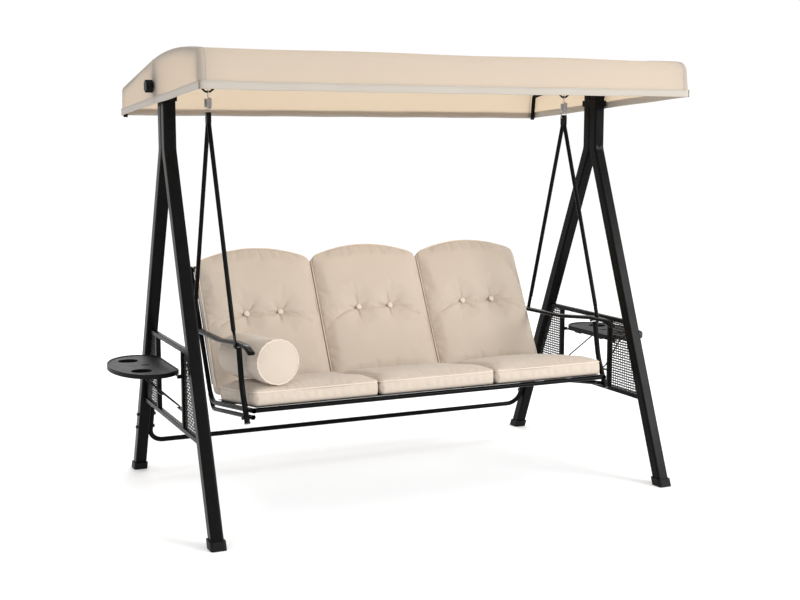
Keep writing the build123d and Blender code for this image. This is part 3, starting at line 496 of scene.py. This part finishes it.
def swell_with_cloth(piece, held, frames=20):
    """Inflates a closed mesh by cloth simulation, holding some points, and caps how far any point moves."""
    before = get_points(piece)
    group = piece.vertex_groups.new(name="held")
    group.add(held, 1.0, "REPLACE")
    cloth = piece.modifiers.new("swell", "CLOTH")
    cloth.settings.quality = 6
    cloth.settings.mass = 0.25
    cloth.settings.tension_stiffness = 12
    cloth.settings.compression_stiffness = 12
    cloth.settings.bending_stiffness = 0.35
    cloth.settings.use_pressure = True
    cloth.settings.uniform_pressure_force = 4.0
    cloth.settings.shrink_min = -0.018
    cloth.settings.vertex_group_mass = "held"
    cloth.settings.effector_weights.gravity = 0.0
    cloth.point_cache.frame_end = frames
    scene = bpy.context.scene
    for number in range(1, frames + 1):
        scene.frame_set(number)
    settled = piece.evaluated_get(bpy.context.evaluated_depsgraph_get())
    after = np.zeros(len(piece.data.vertices) * 3)
    settled.data.vertices.foreach_get("co", after)
    after = after.reshape(-1, 3)
    piece.modifiers.remove(cloth)
    piece.vertex_groups.remove(group)
    scene.frame_set(1)
    move = after - before
    far = np.linalg.norm(move, axis=1)[:, None]
    set_points(piece, before + move * np.minimum(1, SWELL_LIMIT / np.maximum(far, 1e-9)))


def subdivide(piece, levels=1):
    """Smooths the mesh and keeps the result as plain vertices."""
    modifier = piece.modifiers.new("smooth", "SUBSURF")
    modifier.levels = levels
    settled = piece.evaluated_get(bpy.context.evaluated_depsgraph_get())
    mesh = bpy.data.meshes.new_from_object(settled)
    piece.modifiers.remove(modifier)
    old = piece.data
    piece.data = mesh
    bpy.data.meshes.remove(old)
    mesh.polygons.foreach_set("use_smooth", [True] * len(mesh.polygons))
    return piece


def fold_field(points, seed, scale):
    """Smooth pseudo-random folds, between about -1 and 1, from a sum of slanted waves."""
    random = np.random.default_rng(seed)
    total = np.zeros(len(points))
    for _ in range(9):
        heading = random.normal(size=3)
        heading /= np.linalg.norm(heading)
        total += np.sin(points @ heading * scale * random.uniform(0.6, 1.8) + random.uniform(0, 6.28))
    return total / 4.0


def groove(points, path, width):
    """How deep each point lies in a soft groove along a path: 1 on the path, 0 away from it."""
    nearest = np.full(len(points), 1e9)
    for start, end in zip(path[:-1], path[1:]):
        run = end - start
        share = np.clip(((points - start) @ run) / (run @ run), 0, 1)
        nearest = np.minimum(nearest, np.linalg.norm(points - (start + share[:, None] * run), axis=1))
    return np.exp(-(nearest / width) ** 2)


def piping_path(pad_points, loop, lift):
    """The row of points along one seam of a cushion, moved outward a little."""
    ring = pad_points[loop]
    centre = ring.mean(axis=0)
    away = ring - centre
    return ring + lift * away / np.linalg.norm(away, axis=1)[:, None]


def sink_seam(piece, settled, loop):
    """Draws the cloth in along one seam."""
    sunk = np.zeros(len(settled))
    sunk[loop] = 0.0022
    set_points(piece, settled - get_normals(piece) * sunk[:, None])


def seam_cord(name, ring, radius, body):
    """Thin piping that follows a seam: a real cord, drawn in cushion cloth lightened as a painted highlight."""
    points, faces = tube_along(ring, radius, 8, closed=True)
    piece = make_mesh(name, points, faces, PIPING_PAINTED_HIGHLIGHT)
    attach(piece, body)


def seat_cushion(column, seed):
    """One seat cushion with its seam."""
    node = f"seat_cushion_{column}"
    low_x, high_x = span(node, ALONG_X)
    low_along, high_along = span(node, SEAT_ALONG)
    base, _ = span(node, SEAT_NORMAL)
    half = (high_x - low_x) / 2 - SIDE_GAP
    length = high_along - low_along - 0.006
    pad = Pad(half, length, 0.0, 0.020, (SEAT_SEAM_HEIGHT, SEAT_EDGE_HEIGHT, SEAT_CROWN))
    middle_x = (low_x + high_x) / 2
    origin = (low_along + 0.003, base + 0.001)
    points = to_row_frame(pad.local, origin, SEAT_ALONG, SEAT_NORMAL, middle_x)
    piece = make_mesh(f"seat_pad_{column}", points, pad.faces, MATERIALS["cushion_fabric"])
    swell_with_cloth(piece, pad.lower_indices + pad.seams[1])
    settled = get_points(piece)
    seam = piping_path(settled, pad.seams[1], 0.0006)
    sink_seam(piece, settled, pad.seams[1])
    subdivide(piece)
    soften_seat(piece, base, seed)
    finish_cushion(piece, node)
    seam_cord(f"seat_pad_seam_{column}", seam, SEAM_CORD, "seat")


def soften_seat(piece, base, seed):
    """Broad dents and shallow wrinkles on a seat cushion, fading to nothing underneath."""
    points = get_points(piece)
    height = np.clip((points @ SEAT_NORMAL - base - 0.02) / 0.04, 0, 1)
    broad = 0.0026 * fold_field(points, seed, 16)
    fine = 0.0011 * np.clip(fold_field(points, seed + 40, 60), 0, 1.5)
    set_points(piece, points + get_normals(piece) * (height * (broad + fine))[:, None])


def finish_cushion(piece, node):
    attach(piece, "seat")
    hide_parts(node)


def button_spots():
    return [(-BUTTON_OFFSET, BUTTON_HEIGHT), (BUTTON_OFFSET, BUTTON_HEIGHT)]


def back_cushion(column, seed):
    """One buttoned back cushion with its seam; returns where its two buttons sit."""
    node = f"back_cushion_{column}"
    low_x, high_x = span(node, ALONG_X)
    low_along, high_along = span(node, BACK_ALONG)
    base, _ = span(node, BACK_NORMAL)
    half = (high_x - low_x) / 2 - SIDE_GAP
    length = high_along - low_along - BACK_ARCH - 0.006
    pad = Pad(half, length, BACK_ARCH, 0.030, (BACK_SEAM_HEIGHT, BACK_EDGE_HEIGHT, BACK_CROWN))
    held = pad.press(button_spots(), BUTTON_DEPTH, 0.034)
    middle_x = (low_x + high_x) / 2
    origin = (low_along + 0.003, base + 0.001)
    points = to_row_frame(pad.local, origin, BACK_ALONG, BACK_NORMAL, middle_x)
    piece = make_mesh(f"back_pad_{column}", points, pad.faces, MATERIALS["cushion_fabric"])
    swell_with_cloth(piece, pad.lower_indices + pad.seams[1] + held)
    settled = get_points(piece)
    seam = piping_path(settled, pad.seams[1], 0.0004)
    sink_seam(piece, settled, pad.seams[1])
    left_held, right_held = np.array_split(np.array(held), 2)
    button_seats = [settled[left_held].mean(axis=0), settled[right_held].mean(axis=0)]
    subdivide(piece, 2)
    crease_back(piece, base, button_seats, seed)
    finish_cushion(piece, node)
    seam_cord(f"back_pad_seam_{column}", seam, SEAM_CORD, "seat")
    return button_seats


def flatten(points):
    """The same points moved onto the plane of the back row, so that distances ignore height."""
    return points - np.outer(points @ BACK_NORMAL, BACK_NORMAL)


def crease_back(piece, base, buttons, seed):
    """The crease through both buttons, short wrinkles that fan out from them, and broad dents."""
    points = get_points(piece)
    normals = get_normals(piece)
    front = np.clip((points @ BACK_NORMAL - base - 0.03) / 0.03, 0, 1)
    left, right = buttons
    reach = ALONG_X * 0.13
    drop = -BACK_ALONG * 0.050
    middle = (left + right) / 2 - BACK_ALONG * 0.006
    path = np.array([left - reach + drop, left - reach * 0.5 + drop * 0.30, left, middle, right,
                     right + reach * 0.5 + drop * 0.30, right + reach + drop])
    depth = 0.0050 * groove(flatten(points), flatten(path), 0.0040)
    depth += 0.0038 * groove(flatten(points), flatten(path), 0.014)
    for button in buttons:
        offset = points - button
        across, up = offset @ ALONG_X, offset @ BACK_ALONG
        distance = np.hypot(across, up)
        turn = np.arctan2(up, across)
        fan = np.clip(np.cos(5 * turn + seed) + 0.4 * np.cos(9 * turn - seed), 0, 1.4)
        depth += 0.0046 * fan * np.exp(-((distance - 0.030) / 0.030) ** 2)
    lift = 0.0030 * fold_field(points, seed, 13) + 0.0012 * np.clip(fold_field(points, seed + 9, 50), 0, 1.5)
    set_points(piece, points + normals * (front * (lift - depth))[:, None])


def dome_button(name, centre, normal, radius):
    """A covered button: a low dome with a rolled rim."""
    profile = [(0.0, 0.0052), (0.35, 0.0049), (0.65, 0.0040), (0.86, 0.0026), (0.98, 0.0006), (1.0, -0.0014),
               (0.9, -0.0034)]
    segments = 28
    across = ALONG_X
    up = np.cross(normal, across)
    points = [centre + normal * profile[0][1]]
    for share, height in profile[1:]:
        for step in range(segments):
            angle = 2 * math.pi * step / segments
            points.append(centre + normal * height
                          + radius * share * (math.cos(angle) * across + math.sin(angle) * up))
    faces = [(0, 1 + step, 1 + (step + 1) % segments) for step in range(segments)]
    for ring in range(len(profile) - 2):
        first = 1 + ring * segments
        for step in range(segments):
            turn = (step + 1) % segments
            faces.append((first + step, first + segments + step, first + segments + turn, first + turn))
    # The button takes the lightened piping cloth, a painted highlight.
    piece = make_mesh(name, points, faces, PIPING_PAINTED_HIGHLIGHT)
    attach(piece, "seat")
    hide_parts("cushion_buttons")


def bolster():
    """A stuffed round bolster with flat ends, sewn piping and lengthwise puckers at the seams."""
    solid = get_points(frame["nodes"]["bolster"])
    middle = (solid.min(axis=0) + solid.max(axis=0)) / 2
    axis = np.linalg.svd(solid - middle, full_matrices=False)[2][0]
    axis *= np.sign(axis[1])
    along = (solid - middle) @ axis
    length = along.max() - along.min()
    front = middle + axis * along.min()
    side = np.cross(axis, np.array([0.0, 0.0, 1.0]))
    side /= np.linalg.norm(side)
    up = np.cross(side, axis)
    radius = ((solid - middle) @ side).max() - 0.004
    segments, rows = 160, 92
    points, faces = [], []
    for row in range(rows + 1):
        share = row / rows
        from_end = min(share, 1 - share) * length
        fullness = 1 - 0.035 * math.exp(-from_end / 0.016)
        for step in range(segments):
            angle = 2 * math.pi * step / segments
            pucker = 0.0009 * math.sin(23 * angle + 3 * math.sin(2 * angle)) * math.exp(-from_end / 0.035)
            sag = 0.0024 * math.sin(2 * angle + 5 * share) + 0.0018 * math.sin(5 * angle - 9 * share)
            reach = radius * fullness + pucker + sag * min(1, from_end / 0.03)
            points.append(front + axis * (share * length)
                          + reach * (math.cos(angle) * side + math.sin(angle) * up))
    for row in range(rows):
        for step in range(segments):
            turn = (step + 1) % segments
            here = row * segments
            faces.append((here + step, here + turn, here + segments + turn, here + segments + step))
    rings = 14
    for end, outward in ((0, -1), (rows, 1)):
        rim = [end * segments + step for step in range(segments)]
        centre = front + axis * (length * (end / rows))
        edge = np.array([points[index] for index in rim])
        previous = rim
        for ring in range(1, rings):
            share = 1 - ring / rings
            swell = 0.012 * math.cos(share * math.pi / 2) + 0.0004
            first = len(points)
            for step in range(segments):
                angle = 2 * math.pi * step / segments
                ripple = 0.0004 * math.sin(19 * angle) * share ** 8
                points.append(centre + (edge[step] - centre) * share + axis * outward * (swell + ripple))
            current = list(range(first, first + segments))
            for step in range(segments):
                turn = (step + 1) % segments
                quad = (previous[step], previous[turn], current[turn], current[step])
                faces.append(quad if outward > 0 else quad[::-1])
            previous = current
        tip = len(points)
        points.append(centre + axis * outward * 0.0124)
        for step in range(segments):
            turn = (step + 1) % segments
            faces.append((previous[step], previous[turn], tip)[::outward])
    piece = make_mesh("bolster_cover", points, faces, MATERIALS["cushion_fabric"])
    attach(piece, "bolster")
    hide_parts("bolster")
    for end, name in ((0, "front"), (rows, "rear")):
        ring = np.array([points[end * segments + step] for step in range(segments)])
        seam_cord(f"bolster_piping_{name}", ring, 0.0030, "bolster")


# ---- canopy ---------------------------------------------------------------------------------
def arc_corner(before, corner, after, radius, steps):
    """Points of a rounded corner in the plane of three points."""
    first = (before - corner) / np.linalg.norm(before - corner)
    second = (after - corner) / np.linalg.norm(after - corner)
    half_angle = math.acos(float(np.clip(first @ second, -1, 1))) / 2
    cut = radius / math.tan(half_angle)
    centre = corner + (first + second) / np.linalg.norm(first + second) * radius / math.sin(half_angle)
    start, end = corner + first * cut, corner + second * cut
    u, v = start - centre, end - centre
    sweep = math.acos(float(np.clip(u @ v / radius ** 2, -1, 1)))
    return [centre + (math.sin((1 - t) * sweep) * u + math.sin(t * sweep) * v) / math.sin(sweep)
            for t in np.linspace(0, 1, steps)]


def canopy_profile():
    """The side outline (y, z) of the canopy from its front hem over the top to its rear hem."""
    low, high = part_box("canopy_cover")
    front_hem = np.array([low.y, low.z + HEM_RISE])
    front_shoulder = np.array([low.y + FRONT_SHOULDER_IN, low.z + FRONT_SHOULDER_UP])
    ridge = np.array([low.y + RIDGE_BACK, low.z + RIDGE_UP])
    rear_shoulder = np.array([high.y - REAR_SHOULDER_IN, low.z + REAR_SHOULDER_UP])
    rear_hem = np.array([high.y, low.z])
    outline = [front_hem]
    outline += arc_corner(front_hem, front_shoulder, ridge, 0.045, 12)
    outline += arc_corner(front_shoulder, ridge, rear_shoulder, 2.4, 30)
    outline += arc_corner(ridge, rear_shoulder, rear_hem, 0.028, 10)
    outline.append(rear_hem)
    return resample(np.array(outline), 0.008), front_hem, rear_hem


def resample(path, step):
    """The same path with evenly spaced points."""
    lengths = np.concatenate([[0], np.cumsum(np.linalg.norm(np.diff(path, axis=0), axis=1))])
    spots = np.linspace(0, lengths[-1], int(lengths[-1] / step) + 1)
    return np.column_stack([np.interp(spots, lengths, path[:, axis]) for axis in range(path.shape[1])])


def canopy():
    """One continuous cloth: roof, front and rear falls, and both side panels down to the hem."""
    low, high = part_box("canopy_cover")
    half = high.x
    outline, front_hem, rear_hem = canopy_profile()
    tangent = np.gradient(outline, axis=0)
    tangent /= np.linalg.norm(tangent, axis=1)[:, None]
    inward = np.column_stack([tangent[:, 1], -tangent[:, 0]])
    count = len(outline)
    share = np.linspace(0, 1, count)
    hem_line = front_hem + share[:, None] * (rear_hem - front_hem)
    flat = np.linspace(-(half - END_CORNER), half - END_CORNER, 261)
    corner_steps, panel_steps = 6, 26
    columns = []
    for out in (-1, 1):
        side_columns = []
        for step in range(1, corner_steps + 1):
            angle = math.pi / 2 * step / corner_steps
            x = out * (half - END_CORNER + END_CORNER * math.sin(angle))
            depth = END_CORNER * (1 - math.cos(angle))
            side_columns.append((x, outline + inward * depth))
        edge = side_columns[-1][1]
        for step in range(1, panel_steps + 1):
            t = step / panel_steps
            side_columns.append((out * half, edge + (hem_line - edge) * t))
        columns.append(side_columns)
    ordered = columns[0][::-1] + [(x, outline) for x in flat] + columns[1]
    points = []
    for row in range(count):
        for x, line in ordered:
            points.append((x, line[row][0], line[row][1]))
    points = drape(np.array(points), low, high, half)
    faces = grid_faces(count, len(ordered))
    piece = make_mesh("canopy_cloth", points, faces, MATERIALS["canopy_fabric"])
    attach(piece, "canopy")
    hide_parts("canopy_cover")
    grid = points.reshape(count, len(ordered), 3)
    hem_bands(grid)
    for out, name in ((-1, "left"), (1, "right")):
        seam = int(np.argmin(np.abs(grid[count // 2, :, 0] - out * (half - END_SEAM_IN))))
        welt(f"canopy_seam_{name}", grid[:, seam])


def welt(name, path):
    """The folded seam that joins an end panel to the roof."""
    points, faces = tube_along(path, 0.0013, 6)
    piece = make_mesh(name, points, faces, WELT)
    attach(piece, "canopy")


def tube_positions(node):
    """Y of the middle of each tube of a node whose tubes run along X, front to rear."""
    piece = bpy.data.objects[node]
    across = np.sort(np.array([(piece.matrix_world @ vertex.co).y for vertex in piece.data.vertices]))
    groups = np.split(across, np.where(np.diff(across) > 0.05)[0] + 1)
    return [float((group[0] + group[-1]) / 2) for group in groups]


def drape(points, low, high, half):
    """Lets the cloth sag between its tubes, hang in soft ripples, and bulge over the pivot struts."""
    x, y, z = points[:, 0].copy(), points[:, 1].copy(), points[:, 2].copy()
    tubes = tube_positions("canopy_cross_tubes")
    shoulders = [low.z + FRONT_SHOULDER_UP - 0.02, low.z + REAR_SHOULDER_UP - 0.02]
    roof = z > np.interp(y, [low.y, high.y], shoulders)
    across = 1 - (x / half) ** 4
    for start, end, depth in zip(tubes, tubes[1:] + [high.y], (0.010, 0.013, 0.004)):
        t = np.clip((y - start) / (end - start), 0, 1)
        points[:, 2] -= roof * depth * np.sin(math.pi * t) * np.clip(across, 0, 1)
    points[:, 2] += roof * 0.0016 * np.sin(x * 7.3 + y * 3.1) * np.clip(across, 0, 1)
    fall = np.clip((low.z + FRONT_SHOULDER_UP - 0.03 - z) / 0.12, 0, 1)
    front = y < low.y + 0.05
    ripple = 0.0022 * np.sin(x * 9.0 + 0.6) + 0.0010 * np.sin(x * 23.0 + 1.9)
    points[:, 1] += np.where(front, fall * ripple, 0)
    points[:, 2] -= np.where(front, fall * (0.0030 * (1 - (x / half) ** 2)), 0)
    rear = y > high.y - 0.05
    rear_fall = np.clip((low.z + REAR_SHOULDER_UP - 0.02 - z) / 0.10, 0, 1)
    points[:, 1] += np.where(rear, rear_fall * 0.0025 * np.sin(x * 8.0), 0)
    side = np.abs(x) > half - 0.001
    strut = np.exp(-((y - STRUT_Y) / 0.010) ** 2) + np.exp(-((y - STRUT_Y) / 0.035) ** 2) * 0.5
    body = 0.0030 * np.sin(y * 9.5 + 1.0) * np.sin((z - low.z) * 14)
    points[:, 0] += np.where(side, np.sign(x) * (0.0050 * strut + body), 0)
    return points


STRUT_Y = sum(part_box("canopy_struts")[end].y for end in (0, 1)) / 2


def hem_bands(grid):
    """A doubled hem all round the lower edge, with a row of stitches above it."""
    rows, columns = grid.shape[:2]
    front_edge = [grid[0, column] for column in range(columns)]
    rear_edge = [grid[-1, column] for column in range(columns)][::-1]
    left_edge = [grid[row, 0] for row in range(rows - 1, 0, -1)]
    right_edge = [grid[row, -1] for row in range(1, rows)]
    loop = resample_closed(np.array(front_edge + right_edge + rear_edge + left_edge), 0.012)
    centre = loop.mean(axis=0)
    forward = np.roll(loop, -1, axis=0) - np.roll(loop, 1, axis=0)
    forward /= np.linalg.norm(forward, axis=1)[:, None]
    outward = np.cross(forward, np.array([0.0, 0.0, 1.0]))
    outward /= np.linalg.norm(outward, axis=1)[:, None]
    if (outward * (loop - centre)).sum() < 0:
        outward = -outward
    wave = 0.0006 * np.sin(np.arange(len(loop)) * 0.21)[:, None] * np.array([0, 0, 1.0])
    layers = []
    for height, proud in ((HEM_BAND, 0.0003), (HEM_BAND - 0.0008, 0.0010), (HEM_BAND / 2, 0.0013),
                          (0.001, 0.0011), (-0.0012, 0.0001), (0.001, -0.0011), (HEM_BAND, -0.0010)):
        layers.append(loop + wave + outward * proud + np.array([0, 0, height]))
    count = len(loop)
    faces = []
    for layer in range(len(layers) - 1):
        for index in range(count):
            turn = (index + 1) % count
            faces.append((layer * count + index, (layer + 1) * count + index,
                          (layer + 1) * count + turn, layer * count + turn))
    piece = make_mesh("canopy_hem", np.concatenate(layers), faces, WELT)
    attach(piece, "canopy")
    stitch_line = loop + wave + outward * 0.0012 + np.array([0, 0, HEM_BAND - 0.004])
    stitch_row("canopy_stitches", stitch_line, "canopy")


def resample_closed(loop, step):
    closed = np.vstack([loop, loop[:1]])
    return resample(closed, step)[:-1]


def stitch_row(name, path, body):
    """Short raised stitches along a closed path."""
    fine = resample_closed(path, 0.0065)
    ahead = np.roll(fine, -1, axis=0)
    parts = []
    for start, end in zip(fine, ahead):
        run = end - start
        parts.append(tube_along([start + run * 0.12, start + run * 0.5, start + run * 0.80], 0.0005, 4))
    piece = make_mesh(name, *joined(parts), THREAD)
    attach(piece, body)


# ---- slings ---------------------------------------------------------------------------------
def sling(node, along, normal, name):
    """A stretched sheet over the bench tubes, with a little sag."""
    low_x, high_x = span(node, ALONG_X)
    low_along, high_along = span(node, along)
    base, top = span(node, normal)
    middle = (base + top) / 2
    columns, rows = 121, 49
    points = []
    for row in range(rows):
        t = row / (rows - 1)
        for column in range(columns):
            s = column / (columns - 1)
            sag = -0.0030 * math.sin(math.pi * s) * math.sin(math.pi * t)
            x = low_x + (high_x - low_x) * s
            distance = low_along + (high_along - low_along) * t
            points.append(ALONG_X * x + along * distance + normal * (middle + sag))
    piece = make_mesh(name, points, grid_faces(rows, columns), MATERIALS["sling_fabric"])
    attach(piece, "seat")
    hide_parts(node)


# ---- woven panels ---------------------------------------------------------------------------
STRAND_PITCH = 0.0115
STAKE_PITCH = 0.0170
STRAND_SECTION = ((-0.5, -0.25), (-0.25, 0.5), (0.25, 0.5), (0.5, -0.25), (0.25, -0.5), (-0.25, -0.5))


def strand(start, end, across, phase, pitch, width, thickness, wave):
    """A flat strand from start to end that rides over and under the strands it crosses."""
    run = end - start
    length = np.linalg.norm(run)
    steps = max(2, int(length / (pitch / 4)))
    direction = run / length
    flat = np.cross(across, direction)
    points, faces = [], []
    for step in range(steps + 1):
        travelled = length * step / steps
        centre = start + direction * travelled + across * wave * math.sin(math.pi * travelled / pitch + phase)
        for side, lift in STRAND_SECTION:
            points.append(centre + flat * width * side + across * thickness * lift)
    for step in range(steps):
        for corner in range(6):
            turn = (corner + 1) % 6
            faces.append((step * 6 + corner, step * 6 + turn, step * 6 + 6 + turn, step * 6 + 6 + corner))
    return points, faces


def weave_panel(solid, out):
    """The strands of one woven trapezoid, between an upright and a leaning leg."""
    across = np.array([float(out), 0.0, 0.0])
    x = solid[:, 0].mean()
    low_z, high_z = solid[:, 2].min(), solid[:, 2].max()
    inner = solid[np.abs(solid[:, 1]).argmin(), 1]
    outward = 1 if solid[:, 1].mean() > inner else -1
    bottom = (solid[solid[:, 2] < low_z + 0.002][:, 1] * outward).max()
    top = (solid[solid[:, 2] > high_z - 0.002][:, 1] * outward).max()
    near = inner * outward
    parts = []
    rows = int((high_z - low_z) / STRAND_PITCH)
    for row in range(rows):
        z = low_z + (row + 0.5) * (high_z - low_z) / rows
        reach = bottom + (top - bottom) * (z - low_z) / (high_z - low_z) + 0.004
        parts.append(strand(np.array([x, outward * near, z]), np.array([x, outward * reach, z]), across,
                            math.pi * (row % 2) + math.pi / 2, STAKE_PITCH, 0.0062, 0.0018, 0.0013))
    stakes = int((bottom - near) / STAKE_PITCH)
    for stake in range(stakes):
        y = near + (stake + 0.5) * STAKE_PITCH
        ceiling = low_z + (high_z - low_z) * min(1.0, (bottom - y) / (bottom - top))
        if ceiling - low_z > 0.02:
            foot, head = np.array([x, outward * y, low_z]), np.array([x, outward * y, ceiling])
            parts.append(strand(foot, head, across, math.pi * (stake % 2), STRAND_PITCH, 0.0044, 0.0018, 0.0009))
    return joined(parts)


def weave_panels():
    """The woven fill of both side panels, in front of and behind the stay on each side."""
    for side, out in SIDES.items():
        node = f"weave_panels_{side}"
        solid = get_points(frame["nodes"][node])
        middle = (solid[:, 1].min() + solid[:, 1].max()) / 2
        halves = [solid[solid[:, 1] < middle], solid[solid[:, 1] > middle]]
        points, faces = joined([weave_panel(half, out) for half in halves])
        piece = make_mesh(f"wicker_{side}", points, faces, MATERIALS["woven_mesh"])
        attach(piece, "frame")
        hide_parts(node)


# ---- stage ----------------------------------------------------------------------------------
CAMERA_PLACE = (-2.2257, -4.8722, 1.5076)
CAMERA_YAW = -0.433
CAMERA_PITCH = 0.132
CAMERA_LENS = 55.44


def stage():
    corners = [(-30, -30, 0), (30, -30, 0), (30, 30, 0), (-30, 30, 0)]
    floor = make_mesh("floor", corners, [(0, 1, 2, 3)], pale_floor())
    world = bpy.data.worlds.new("studio")
    bpy.context.scene.world = world
    world.use_nodes = True
    light_studio_walls(world.node_tree)
    bpy.context.scene.view_settings.view_transform = "Standard"


def light_studio_walls(tree):
    """A white studio: brightest behind and above the bench, dimmer on the side that it faces."""
    background = tree.nodes["Background"]
    split = add_node(tree, "ShaderNodeSeparateXYZ")
    tree.links.new(add_node(tree, "ShaderNodeTexCoord").outputs["Generated"], split.inputs[0])
    facing = math_node(tree, "ADD", split.outputs["Y"], math_node(tree, "MULTIPLY", split.outputs["Z"], 0.7))
    ramp = add_node(tree, "ShaderNodeMapRange", interpolation_type="SMOOTHSTEP")
    ramp.inputs["From Min"].default_value = -0.7
    ramp.inputs["From Max"].default_value = 0.45
    ramp.inputs["To Min"].default_value = 0.80
    ramp.inputs["To Max"].default_value = 1.02
    tree.links.new(facing, ramp.inputs["Value"])
    background.inputs["Color"].default_value = (1.0, 1.0, 1.0, 1.0)
    tree.links.new(ramp.outputs["Result"], background.inputs["Strength"])


def soft_light(name, place_at, target, size, power):
    data = bpy.data.lights.new(name, "AREA")
    data.shape = "RECTANGLE"
    data.size, data.size_y = size
    data.energy = power
    light = bpy.data.objects.new(name, data)
    bpy.context.scene.collection.objects.link(light)
    light.location = place_at
    aim = Vector(target) - Vector(place_at)
    light.rotation_euler = aim.to_track_quat("-Z", "Y").to_euler()


def camera():
    data = bpy.data.cameras.new("camera")
    data.lens = CAMERA_LENS
    data.sensor_width = 36.0
    data.clip_end = 100.0
    view = bpy.data.objects.new("camera", data)
    bpy.context.scene.collection.objects.link(view)
    view.location = CAMERA_PLACE
    view.rotation_euler = (math.pi / 2 - CAMERA_PITCH, 0.0, CAMERA_YAW)
    bpy.context.scene.camera = view


# ---- build ----------------------------------------------------------------------------------
dress_cad_nodes()
canopy()
for order, column in enumerate(COLUMNS):
    seat_cushion(column, seed=11 + order)
    for number, spot in enumerate(back_cushion(column, seed=21 + order)):
        dome_button(f"button_{column}_{number + 1}", spot + BACK_NORMAL * 0.0055, BACK_NORMAL, BUTTON_RADIUS)
bolster()
sling("seat_sling", SEAT_ALONG, SEAT_NORMAL, "seat_sling_cloth")
sling("back_sling", BACK_ALONG, BACK_NORMAL, "back_sling_cloth")
weave_panels()

stage()
soft_light("key", (4.4, -6.0, 3.5), (0.0, 0.0, 0.9), (3.2, 2.4), 400)
soft_light("strip", (-4.2, -3.2, 2.4), (-0.8, 0.0, 1.0), (0.4, 2.6), 18)
soft_light("back", (1.0, 5.0, 3.5), (0.0, 0.0, 1.0), (4.0, 1.5), 90)
camera()
